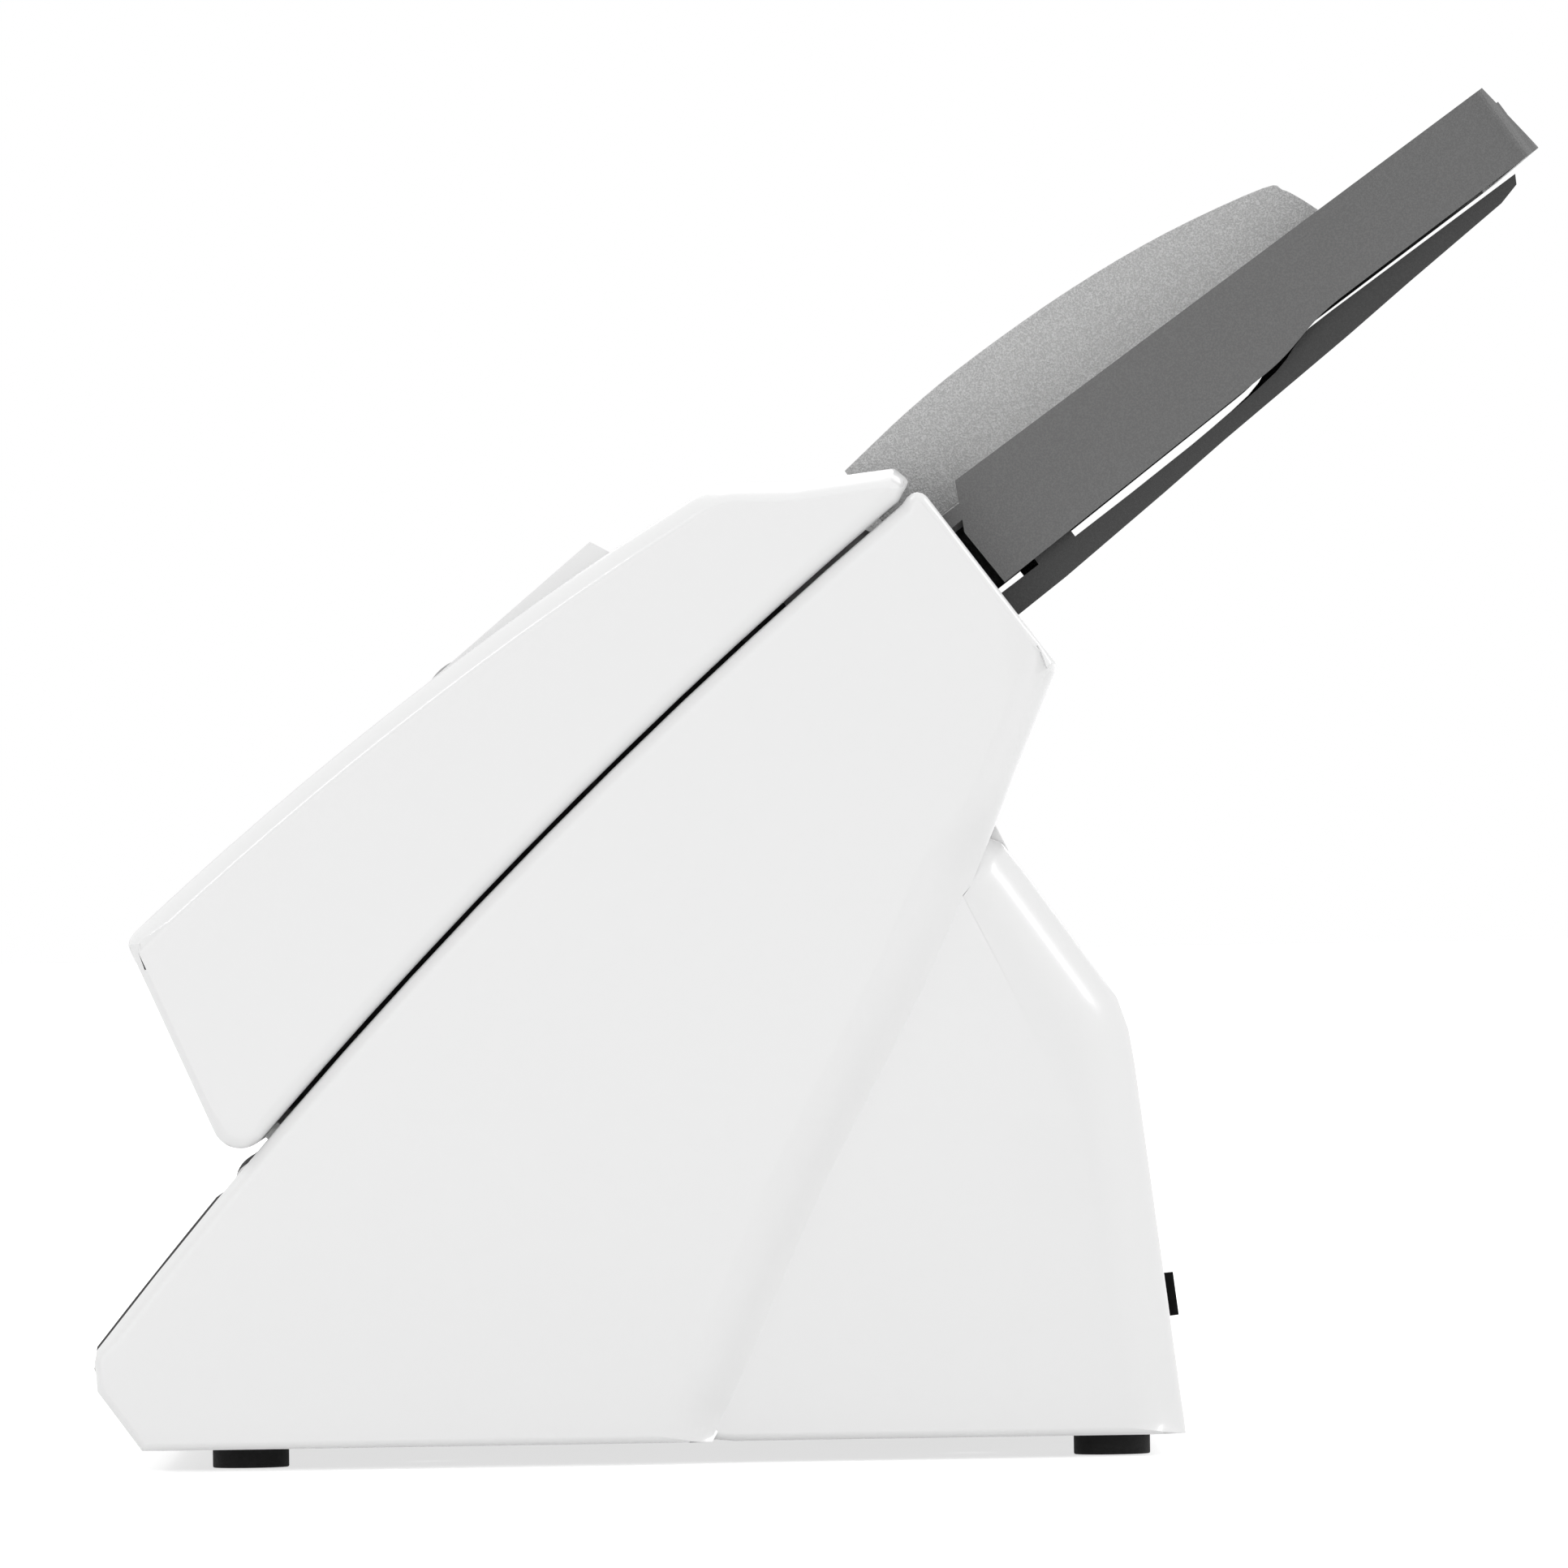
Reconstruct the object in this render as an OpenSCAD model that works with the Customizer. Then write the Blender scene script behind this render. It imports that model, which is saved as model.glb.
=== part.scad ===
// Sheet-fed document scanner with a hinged front cover, a feed tray and a pull-out exit tray.
// X runs across the width, -Y is the front, +Z is up. The feet stand on Z = 0.

/* [Body] */
// Width over both side covers
overall_w = 300; // [284:1:316]
// Depth of the body from its nose to its rear leg
body_d = 190; // [184:1:196]
// Height of the side covers above the table
body_h = 168; // [162:1:174]
// Thickness of the moulded walls
wall = 2.4; // [2:0.1:2.8]
// Depth of each side cover, measured inwards
cover_w = 18; // [17:0.5:19]
// How far the rear legs are set in from the wings
leg_recess = 6; // [4:0.5:8]

/* [Front cover] */
// Gap between the front cover and the side covers
split_gap = 0.8; // [0.5:0.1:1.2]
// Bow of the split line over its chord
split_bow = 5.3; // [4.5:0.1:6]
// Bow of the front cover's face over its chord
face_bow = 3.2; // [2:0.1:4]
// Radius of the rolled lower edge, round the hinge pins
knuckle_r = 5; // [4.5:0.1:5.5]
// Width of the front cover on each side of the paper throat
cheek_w = 33; // [31:0.5:35]

/* [Paper path] */
// Clear height of the paper path
paper_gap = 1.6; // [1.2:0.1:2]
// Depth of the lower paper guide under the split line
guide_drop = 5; // [4.5:0.1:5.5]
// Radius of the pick roller
pick_r = 10; // [9:0.5:11]
// Radius of the two drive rollers
drive_r = 8; // [7.5:0.5:9]
// Radius of the exit roller
exit_r = 4.9; // [4.5:0.1:5.3]
// Radius of the idler rollers in the front cover
idler_r = 5; // [4.5:0.1:5.5]
// Radius of every roller shaft
shaft_r = 3; // [2.5:0.1:3.2]
// Running clearance of a shaft in its bush, on the radius
run_fit = 0.05; // [0.03:0.01:0.09]

/* [Feed tray] */
// Slope of the feed tray
tray_angle = 35.8; // [34:0.2:37]
// Length of the tray's side rails
rail_l = 116; // [110:1:120]
// Height of the tray's end wall and outer rails
rail_h = 14.2; // [13:0.2:15]
// Set-in of the tray's sides from the side covers
tray_in = 8; // [7:0.5:10]
// Depth of the tray plate under the top of its rails
plate_drop = 3.6; // [3:0.2:4.4]
// Thickness of the tray plate
plate_t = 2.6; // [2.2:0.1:3]
// Set-in of the side guides from the tray's sides at rest
guide_in = 16; // [15:0.5:18]
// Height of the side guides above the tray plate
fin_h = 19; // [17:0.5:20]

/* [Exit tray] */
// Set-in of the exit tray's sides from the paper throat
exit_in = 5; // [3:0.5:9]
// Length of the exit tray
exit_l = 158; // [150:1:164]
// Height of the exit tray's plate above the table
exit_z = 14.5; // [14:0.1:15]

/* [Feet and switch] */
// Radius of a rubber foot
foot_r = 6.65; // [6:0.05:7.2]
// Height of a rubber foot
foot_h = 3.9; // [3.5:0.1:4.3]
// Height of the power rocker's frame
rocker_h = 9.8; // [9:0.1:10.5]
// Width of the power rocker
rocker_w = 16; // [14:0.5:18]

/* [Hidden] */
// Points on each curved stretch of an outline
arc_n = 12;
$fn = 48;
// Overrun of every cut
over = 1;
// Gap left between pieces that are free to move past each other
fit = 0.3;
// Slip left round pieces that drop into a seat
seat = 0.1;

// Inner faces of the side covers, width of the paper throat, and halves of the trays' widths
cover_in = overall_w / 2 - cover_w;
throat_w = overall_w - 2 * cheek_w;
tray_half = cover_in - tray_in;
guide_half = tray_half - guide_in;
exit_half = throat_w / 2 - exit_in;

// Unit vector of v
function unit(v) = v / norm(v);
// Left normal of the run from a to b
function left_of(a, b) = let (u = unit(b - a)) [-u[1], u[0]];
// Point between p and q on a shallow bow
function bow_at(p, q, bow, u) = p + (q - p) * u + left_of(p, q) * bow * 4 * u * (1 - u);
// Points of that bow from share u0 to share u1
function bowed(p, q, bow, u0, u1) = [for (i = [0:arc_n]) bow_at(p, q, bow, u0 + (u1 - u0) * i / arc_n)];
// A table of shares as lengths of the body's depth and height
function scaled(shares) = [for (p = shares) [p[0] * body_d, p[1] * body_h]];
// The same, where a share of 0 in height means the underside, on top of the feet
function on_feet(shares) = [for (p = shares) [p[0] * body_d, p[1] == 0 ? foot_h : p[1] * body_h]];
// One corner of an outline, rounded to radius r in n steps
function corner(a, b, c, r, n = 4) =
    let (u = unit(a - b), v = unit(c - b), half = acos(u * v) / 2, m = unit(u + v))
    let (centre = b + m * r / sin(half), side = sign(cross(u, v)))
    let (start = b + u * r / tan(half) - centre, sweep = (180 - 2 * half) * side)
    [for (i = [0:n]) let (a = -sweep * i / n) centre + [
        start[0] * cos(a) - start[1] * sin(a),
        start[0] * sin(a) + start[1] * cos(a)
    ]];
// A smooth curve through points, with n steps between each two
function curve(p, n) = let (m = len(p) - 1) concat([for (i = [0:m - 1], k = [0:n - 1])
    let (t = k / n, a = p[max(i - 1, 0)], b = p[i], c = p[i + 1], d = p[min(i + 2, m)])
    b + (c - a) * t / 2 + (a - 2.5 * b + 2 * c - d / 2) * t * t + (1.5 * b - a / 2 - 1.5 * c + d / 2) *
        t * t * t
], [p[m]]);
// A closed outline moved inwards by d, for points that run anticlockwise
function inset(p, d) = let (n = len(p)) [for (i = [0:n - 1])
    let (m = left_of(p[(i + n - 1) % n], p[i]), k = left_of(p[i], p[(i + 1) % n]))
    p[i] + (m + k) * d / (1 + m * k)];
// An open path moved to its left by d
function beside(p, d) = let (n = len(p)) [for (i = [0:n - 1])
    let (m = left_of(p[max(i - 1, 0)], p[max(i, 1)]), k = left_of(p[min(i, n - 2)], p[min(i + 1, n - 1)]))
    p[i] + (m + k) * d / (1 + m * k)];
function reversed(p) = [for (i = [len(p) - 1:-1:0]) p[i]];
// A sheet of thickness t to the left of a path
function band(p, t) = concat(p, reversed(beside(p, t)));

// The split line between the front cover and the side covers
split_low = scaled([[0.005, 0.127]])[0];
split_high = scaled([[0.748, 0.983]])[0];
// Angle of the split line at share u of its length
function split_angle(u) = let (a = bow_at(split_low, split_high, split_bow, u - 0.01),
    b = bow_at(split_low, split_high, split_bow, u + 0.01)) atan2(b[1] - a[1], b[0] - a[0]);
// Point at share u of the split line, off outwards from it
function split_at(u, off) = bow_at(split_low, split_high, split_bow, u) + off * [-sin(split_angle(u)),
    cos(split_angle(u))];
function split_run(u0, u1, off) = [for (i = [0:arc_n]) split_at(u0 + (u1 - u0) * i / arc_n, off)];

// Places along the split line, as shares of its length
hinge_share = 0.23;
exit_share = 0.195;
lower_share = 0.34;
scan_share = 0.49;
upper_share = 0.64;
pick_share = 0.83;
guide_top_share = 0.935;

// Hinge axis of the front cover
hinge = split_at(hinge_share, split_gap + knuckle_r);
hinge_pin_r = 2;
// Origin of the tray frame at the front end of its rails
tray_root = scaled([[0.798, 1.009]])[0];
function tray_at(s, t) = tray_root + [s * cos(tray_angle) + t * sin(tray_angle),
    s * sin(tray_angle) - t * cos(tray_angle)];
// The body's nose stands at Y = 0 and the tray's end wall is the rearmost point
reach = tray_at(rail_l, rail_h)[0];

module placed() {
    translate([0, -reach / 2, 0]) children();
}
// A profile in Y and Z, drawn across the width w round x
module across(w, x = 0) {
    translate([x - w / 2, 0, 0]) rotate([90, 0, 90]) linear_extrude(w) children();
}
// A frame at a point of the side view, turned by angle
module turned(p, angle) {
    translate([0, p[0], p[1]]) rotate([angle, 0, 0]) children();
}
// The tray frame: Y along the tray, Z square to it and upwards
module on_tray() {
    turned(tray_root, tray_angle) children();
}
// A rod along X from x0 to x1
module rod(r, x0, x1) {
    translate([x0, 0, 0]) rotate([0, 90, 0]) cylinder(r = r, h = x1 - x0);
}
module block(x0, x1, y0, y1, z0, z1) {
    translate([x0, y0, z0]) cube([x1 - x0, y1 - y0, z1 - z0]);
}

// Places across the width, each half of a distance
plate_x = cover_in - 4 * fit - wall;
steel_t = 1.5;
guide_x = plate_x - fit;

/* Outlines of the base */
// Underside and rear edge of a wing, from the nose to the top
wing_low_shares = [[0.045, 0], [0.563, 0], [0.593, 0.087], [0.672, 0.286], [0.764, 0.484], [0.828,
    0.65], [0.849, 0.708]];
wing_tip_share = [0.8885, 0.814];
wing_apex_share = [0.7625, 1.0045];
nose_shares = [[0.003, 0.115], [0.005, 0.085]];
// Outline of a recessed rear leg
leg_shares = [
    [0.45, 0], [0.994, 0], [0.993, 0.04], [0.953, 0.406], [0.948, 0.44], [0.938, 0.473],
    [0.853, 0.608], [0.835, 0.634], [0.83, 0.66], [0.7, 0.62], [0.55, 0.35]
];
tip_r = 2.2;
function tip_of(shares, a, b, r) = corner(a, scaled([shares])[0], b, r);
wing_low = let (p = on_feet(wing_low_shares)) concat([p[0]], curve([for (i = [1:len(p) - 1]) p[i]], 3));
wing_tip = scaled([wing_tip_share])[0];
wing_apex = scaled([wing_apex_share])[0];
wing_outline = concat(
    wing_low,
    tip_of(wing_tip_share, wing_low[len(wing_low) - 1], wing_apex, tip_r),
    tip_of(wing_apex_share, wing_tip, split_high, tip_r),
    reversed(split_run(0, 1, 0)),
    scaled(nose_shares)
);
leg_outline = on_feet(leg_shares);
// The wing's outline before its corners are rounded, for its inner face
wing_sharp = concat(wing_low, [wing_tip, wing_apex], reversed(split_run(0, 1, 0)), scaled(nose_shares));

// One side cover, an open shell whose rear leg is set in from its wing
module side_cover(side) {
    color("white") placed() mirror([side < 0 ? 1 : 0, 0, 0]) difference() {
        union() {
            across(cover_w, overall_w / 2 - cover_w / 2) polygon(wing_outline);
            across(cover_w - leg_recess, (overall_w / 2 - leg_recess + cover_in) / 2) polygon(leg_outline);
        }
        across(cover_w, overall_w / 2 - cover_w / 2 - wall) polygon(inset(wing_sharp, wall));
        across(cover_w - leg_recess, (overall_w / 2 - leg_recess + cover_in) / 2 - wall)
            polygon(inset(leg_outline, wall));
    }
}
module side_cover_left() { side_cover(-1); }
module side_cover_right() { side_cover(1); }

// Middle of the body between the side covers
mid_w = 2 * (cover_in - fit);
// Shares of the depth where the base pan starts and ends
pan_shares = [0.061, 0.985];
pan_rim_h = 9;
runner_w = 6;
runner_in = 6;
foot_in = 14;
foot_x = cover_in - foot_in;
foot_shares = [0.14, 0.928];
module each_foot() {
    for (side = [-1, 1], share = foot_shares) translate([side * foot_x, share * body_d, 0]) children();
}
screw_r = 1.5;
screw_head_r = 3;
screw_head_h = 1.8;
screw_l = 4.6;
screw_shares = [0.3, 0.8];
screw_in = 32;
screw_x = cover_in - screw_in;
module each_screw() {
    for (side = [-1, 1], share = screw_shares) translate([side * screw_x, share * body_d,
        foot_h]) children();
}
// Room left for the foot of the rear cover, which leans over the pan
pan_clear = 5.4;
module base_pan() {
    y0 = pan_shares[0] * body_d;
    y1 = pan_shares[1] * body_d;
    color("gainsboro") placed() difference() {
        union() {
            block(-mid_w / 2, mid_w / 2, y0, y1, foot_h, foot_h + wall);
            for (side = [-1, 1]) {
                translate([side * (mid_w - wall) / 2, 0, 0])
                    block(-wall / 2, wall / 2, y0, y1 - pan_clear, foot_h, foot_h + wall + pan_rim_h);
                translate([side * (exit_half - runner_in), 0, 0])
                    block(-runner_w / 2, runner_w / 2, y0, y1 - pan_clear, foot_h, exit_z - fit);
            }
            each_screw() cylinder(r = screw_head_r + wall, h = screw_head_h + wall);
        }
        each_screw() translate([0, 0, -over]) cylinder(r = screw_r + seat, h = screw_l + 2 * over);
        each_screw() translate([0, 0, -over]) cylinder(r = screw_head_r + seat, h = screw_head_h + over);
    }
}
module case_screws() {
    color("dimgray") placed() each_screw() difference() {
        union() {
            cylinder(r = screw_head_r, h = screw_head_h);
            cylinder(r = screw_r, h = screw_l);
        }
        translate([0, 0, -over]) cylinder(r = screw_r, h = screw_head_h, $fn = 6);
    }
}
// Each foot has a shallow dish in its underside
dish_h = 0.5;
module rubber_feet() {
    color("black") placed() each_foot() difference() {
        cylinder(r = foot_r, h = foot_h);
        translate([0, 0, -over]) cylinder(r = foot_r / 2, h = dish_h + over);
    }
}

// The tray seat at the top of the rear cover
seat_s = 24;
slope_s = 6.5;
slope_t = 34;
seat_t = plate_drop + plate_t;
rear_low_shares = [[0.949, 0.406], [0.944, 0.44], [0.934, 0.473], [0.849, 0.608], [0.829, 0.654],
    [0.846, 0.708]];
rear_foot_share = 0.989;
// Angle of the leg's rear face from upright
leg_lean = atan((rear_foot_share - rear_low_shares[0][0]) * body_d / (rear_low_shares[0][1] * body_h -
    foot_h - wall));
// How far the rear cover's foot stays clear of the pan, as it leans over it
rear_lift = 0.3;
rear_path = concat(
    [[rear_foot_share * body_d - rear_lift * tan(leg_lean), foot_h + wall + rear_lift]],
    scaled(rear_low_shares),
    [tray_at(-slope_s, slope_t), tray_at(-slope_s, seat_t), tray_at(-seat_s, seat_t)]
);
// A frame on the rear face at height z: Y along the outward normal
module on_rear(z) {
    y = rear_foot_share * body_d - (z - foot_h - wall) * tan(leg_lean);
    turned([y, z], leg_lean) children();
}
port_z = 27;
// Places of the switch and the two ports, from the inner face of the side cover
rocker_in = 36;
dc_in = 70;
usb_in = 96;
rocker_x = cover_in - rocker_in;
dc_x = cover_in - dc_in;
usb_x = cover_in - usb_in;
port_w = 13;
port_h = 12;
port_depth = 12;
vent_n = 9;
vent_pitch = 7;
vent_w = 3;
vent_h = 26;
vent_z = 44;
vent_in = 62;
vent_x = vent_in - cover_in;
module rear_cover() {
    color("white") placed() difference() {
        across(mid_w) polygon(band(rear_path, wall));
        on_rear(port_z) {
            block(rocker_x - rocker_w / 2 - seat, rocker_x + rocker_w / 2 + seat, -2 * wall, over,
                -rocker_h / 2 - seat, rocker_h / 2 + seat);
            for (x = [dc_x, usb_x]) block(x - port_w / 2 - seat, x + port_w / 2 + seat, -2 * wall,
                over, -port_h / 2 - seat, port_h / 2 + seat);
        }
        on_rear(vent_z) for (i = [0:vent_n - 1])
            translate([vent_x + i * vent_pitch, 0, 0]) block(-vent_w / 2, vent_w / 2, -2 * wall, over,
                -vent_h / 2, vent_h / 2);
    }
}
// Rocker switch in the rear cover
rocker_proud = 1.8;
rocker_depth = 11;
rocker_rim = 1;
rocker_gap = 1;
// Depth of the rocker's swing axis under the rear face
rocker_pivot = 1;
rocker_pin_r = 0.8;
rocker_pin_l = 0.7;
module power_switch_housing() {
    w = rocker_w / 2;
    h = rocker_h / 2;
    color("black") placed() on_rear(port_z) translate([rocker_x, 0, 0]) difference() {
        union() {
            block(-w, w, -rocker_depth, 0, -h, h);
            block(-w - rocker_rim, w + rocker_rim, 0, rocker_rim, -h - rocker_rim, h + rocker_rim);
        }
        block(-w + rocker_rim, w - rocker_rim, -rocker_depth + rocker_rim, 2 * rocker_rim,
            -h + rocker_rim, h - rocker_rim);
        translate([0, -rocker_pivot, -h - over]) cylinder(r = rocker_pin_r + run_fit, h = 2 * (h + over));
    }
}
// The rocker's two faces meet in a shallow V over its swing axis, a pin that turns in the frame
module power_rocker() {
    w = rocker_w / 2 - rocker_rim - rocker_gap;
    h = rocker_h / 2 - rocker_rim - seat;
    top = rocker_pivot + rocker_rim;
    color("black") placed() on_rear(port_z) translate([rocker_x, -rocker_pivot, 0]) {
        translate([0, 0, -h]) linear_extrude(2 * h)
            polygon([[-w, top], [-w / 2, -rocker_pivot], [w / 2, -rocker_pivot], [w,
                top + rocker_proud], [0, top]]);
        translate([0, 0, -h - rocker_pin_l]) cylinder(r = rocker_pin_r, h = 2 * (h + rocker_pin_l));
    }
}

/* Frames, paper guides and rollers */
frame_shares = [[0.08, 0.12], [0.935, 0.12], [0.9, 0.35], [0.8, 0.62], [0.8, 0.86]];
frame_drop = guide_drop + wall + fit;
// Shares of the split line where the steel side plates start and end
frame_split_shares = [0.14, 0.9];
bush_r = 5;
exit_shaft_r = 2;
exit_bush_r = 3;
exit_ear_r = 4.2;
bush_flange_r = 6.5;
bush_flange_t = 0.9;
// How far each roller stands out of its guide, and the nip between a pair
proud = 0.7;
nip = 0.3;
exit_proud = 1.1;
hinge_ear_r = 3.9;
pick_c = split_at(pick_share, proud - guide_drop - pick_r);
upper_c = split_at(upper_share, proud - guide_drop - drive_r);
lower_c = split_at(lower_share, proud - guide_drop - drive_r);
exit_c = split_at(exit_share, exit_proud - exit_r);
// The base's shafts: centre, shaft radius and bush radius
shafts = [[pick_c, shaft_r, bush_r], [upper_c, shaft_r, bush_r], [lower_c, shaft_r, bush_r], [exit_c,
    exit_shaft_r, exit_bush_r]];
module at(p) {
    translate([0, p[0], p[1]]) children();
}
hinge_root = split_at(hinge_share, -frame_drop - wall);
hinge_neck = [
    hinge_root, split_at(hinge_share + 0.02, -frame_drop - wall),
    split_at(hinge_share + 0.015, split_gap + knuckle_r), split_at(hinge_share, split_gap + knuckle_r)
];
module frame_plate(side) {
    outline = concat(scaled(frame_shares), reversed(split_run(frame_split_shares[0],
        frame_split_shares[1], -frame_drop)));
    color("silver") placed() mirror([side < 0 ? 1 : 0, 0, 0]) difference() {
        union() {
            across(steel_t, plate_x + steel_t / 2) polygon(outline);
            at(exit_c) rod(exit_ear_r, plate_x, plate_x + steel_t);
            at(hinge) rod(hinge_ear_r, plate_x, plate_x + steel_t);
            across(steel_t, plate_x + steel_t / 2) polygon(hinge_neck);
        }
        for (s = shafts) at(s[0]) rod(s[2] + seat / 2, plate_x - over, plate_x + steel_t + over);
        at(hinge) rod(hinge_pin_r + seat / 2, plate_x - over, plate_x + steel_t + over);
        at(motor_c) rod(motor_boss_r, plate_x - over, plate_x + steel_t + over);
    }
}
module frame_plate_left() { frame_plate(-1); }
module frame_plate_right() { frame_plate(1); }
// Flanged bushes, pressed into both side plates
module bearing_bushes() {
    color("goldenrod") placed() for (side = [-1, 1], s = shafts) mirror([side < 0 ? 1 : 0, 0,
        0]) at(s[0]) difference() {
        union() {
            rod(s[2], plate_x - bush_flange_t, plate_x + steel_t + bush_flange_t);
            if (s[2] == bush_r) rod(bush_flange_r, plate_x + steel_t, plate_x + steel_t + bush_flange_t);
        }
        rod(s[1] + run_fit, plate_x - 2 * over, plate_x + 2 * steel_t + over);
    }
}
// Places of the rubber tyres along each shaft, and their length
tyre_in = 39;
tyre_xs = [for (side = [-1:1]) side * (throat_w / 2 - tyre_in)];
tyre_l = 24;
pick_xs = [0];
pick_l = 46;
shaft_end = plate_x + steel_t + bush_flange_t + seat;
belt_x = plate_x + 7;
belt_w = 5;
pulley_rim = 1.2;
module shaft(r, x1, x0 = -shaft_end) {
    color("silver") rod(r, x0, x1);
}
module tyres(r, inner, xs, l) {
    color("dimgray") for (x = xs) translate([x, 0, 0]) difference() {
        rod(r, -l / 2, l / 2);
        rod(inner, -l / 2 - over, l / 2 + over);
    }
}
// Flanged belt pulley whose belt runs at radius r
module pulley(r, inner, x) {
    color("ivory") translate([x, 0, 0]) difference() {
        union() {
            rod(r, -belt_w / 2 - pulley_rim, belt_w / 2 + pulley_rim);
            for (side = [-1, 1]) translate([side * (belt_w + pulley_rim + fit) / 2, 0, 0])
                rod(r + pulley_rim, -pulley_rim / 2, pulley_rim / 2);
        }
        rod(inner, -belt_w - over, belt_w + over);
    }
}
pulley_r = 6;
pick_pulley_r = pulley_r * pick_r / drive_r;
belt_end = belt_x + belt_w / 2 + 2 * pulley_rim;
module pick_shaft() { placed() at(pick_c) shaft(shaft_r, belt_end); }
module drive_shaft_upper() { placed() at(upper_c) shaft(shaft_r, belt_end); }
module drive_shaft_lower() { placed() at(lower_c) shaft(shaft_r, belt_end); }
module exit_shaft() { placed() at(exit_c) shaft(exit_shaft_r, shaft_end); }
module pick_roller() { placed() at(pick_c) tyres(pick_r, shaft_r, pick_xs, pick_l); }
module drive_roller_upper() { placed() at(upper_c) tyres(drive_r, shaft_r, tyre_xs, tyre_l); }
module drive_roller_lower() { placed() at(lower_c) tyres(drive_r, shaft_r, tyre_xs, tyre_l); }
module exit_roller() { placed() at(exit_c) tyres(exit_r, exit_shaft_r, tyre_xs, tyre_l); }
module pick_pulley() { placed() at(pick_c) pulley(pick_pulley_r, shaft_r, belt_x); }
module drive_pulley_upper() { placed() at(upper_c) pulley(pulley_r, shaft_r, belt_x); }
module drive_pulley_lower() { placed() at(lower_c) pulley(pulley_r, shaft_r, belt_x); }

// Motor inside the right side plate, with its pulley in line with the others
motor_c = scaled([[0.6, 0.32]])[0];
motor_r = 18;
motor_l = 34;
motor_boss_r = 7;
motor_shaft_r = 1.5;
motor_pulley_r = 5;
belt_t = 1.2;
module feed_motor() {
    color("silver") placed() at(motor_c) difference() {
        union() {
            rod(motor_r, plate_x - motor_l, plate_x);
            rod(motor_boss_r - seat, plate_x - over, plate_x + steel_t);
        }
        rod(motor_shaft_r + run_fit, plate_x - motor_l / 2, plate_x + 2 * steel_t);
    }
}
module motor_shaft() { placed() at(motor_c) shaft(motor_shaft_r, belt_end, plate_x - motor_l / 2 + seat); }
module motor_pulley() { placed() at(motor_c) pulley(motor_pulley_r, motor_shaft_r, belt_x); }
// A belt laid tightly round circles of the Y-Z view
module belt(circles, x) {
    translate([x - belt_w / 2 + seat, 0, 0]) rotate([90, 0,
        90]) linear_extrude(belt_w - 2 * seat) difference() {
        hull() for (c = circles) translate(c[0]) circle(r = c[1] + fit / 2 + belt_t);
        hull() for (c = circles) translate(c[0]) circle(r = c[1] + fit / 2);
    }
}
module drive_belt() {
    color("dimgray") placed()
        belt([[pick_c, pick_pulley_r], [upper_c, pulley_r], [lower_c, pulley_r], [motor_c,
            motor_pulley_r]], belt_x);
}
// Exit drive: two small pulleys inside the left side plate
exit_pulley_r = 2.6;
exit_belt_x = -(plate_x - bush_flange_t - pulley_rim - belt_w);
module exit_pulley() { placed() at(exit_c) pulley(exit_pulley_r, exit_shaft_r, exit_belt_x); }
lower_exit_pulley_r = exit_pulley_r * drive_r / exit_r;
module exit_drive_pulley() { placed() at(lower_c) pulley(lower_exit_pulley_r, shaft_r, exit_belt_x); }
module exit_belt() {
    color("dimgray") placed() belt([[exit_c, exit_pulley_r], [lower_c, lower_exit_pulley_r]], exit_belt_x);
}

glass_in = 4;
glass_w = throat_w - 2 * glass_in;
glass_h = 13;
glass_t = 2;
sensor_w = throat_w + 2;
sensor_h = 17;
sensor_d = 9;
roller_slot = 1.2;
guide_rib = 6;
module guide_slots(c, r, xs, l) {
    for (x = xs) at(c) rod(r + roller_slot, x - l / 2 - roller_slot, x + l / 2 + roller_slot);
}
// Frame at share u of the split line, off outwards: Y runs up the line
module on_split(u, off) {
    turned(split_at(u, off), split_angle(u)) children();
}
module lower_paper_guide() {
    path = reversed(split_run(hinge_share + 0.02, guide_top_share - 0.015, -guide_drop));
    color("dimgray") placed() difference() {
        union() {
            across(2 * guide_x) polygon(band(path, wall));
            for (side = [-1, 1]) across(wall, side * (glass_w / 2 + 2 * wall)) polygon(band(path,
                guide_rib));
            flag_lugs();
        }
        guide_slots(pick_c, pick_r, pick_xs, pick_l);
        guide_slots(upper_c, drive_r, tyre_xs, tyre_l);
        guide_slots(lower_c, drive_r, tyre_xs, tyre_l);
        for (c = [pick_c, upper_c, lower_c]) at(c) rod(shaft_r + roller_slot, -guide_x, guide_x);
        on_split(scan_share, -guide_drop)
            block(-glass_w / 2 - seat, glass_w / 2 + seat, -glass_h / 2 - seat, glass_h / 2 + seat,
                -2 * wall, over);
        belt_slot();
        for (side = [-1, 1]) latch_slot(side);
        translate([flag_x, 0, 0]) on_split(flag_share, -guide_drop)
            block(-flag_w / 2 - fit, flag_w / 2 + fit, -flag_drop, flag_w, -2 * wall, over);
    }
}
// Room for the exit belt beside the paper's way
module belt_slot() {
    across(belt_w + 4 * pulley_rim + 2 * fit, exit_belt_x)
        polygon(band(reversed(split_run(hinge_share - 0.05, lower_share + 0.06, 0)), 3 * guide_drop));
}
module lower_scan_glass() {
    color("lightblue", 0.4) placed() on_split(scan_share, -guide_drop)
        block(-glass_w / 2, glass_w / 2, -glass_h / 2, glass_h / 2, -glass_t, 0);
}
// Image sensor under its glass, clear of the rounded guide
module lower_image_sensor() {
    color("black") placed() on_split(scan_share, -guide_drop - wall) difference() {
        block(-sensor_w / 2, sensor_w / 2, -sensor_h / 2, sensor_h / 2, -sensor_d - guide_rib / 2, -fit);
        for (side = [-1, 1]) translate([side * (glass_w / 2 + 2 * wall), 0, 0])
            block(-wall, wall, -sensor_h, sensor_h, -guide_rib, 0);
    }
}
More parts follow.
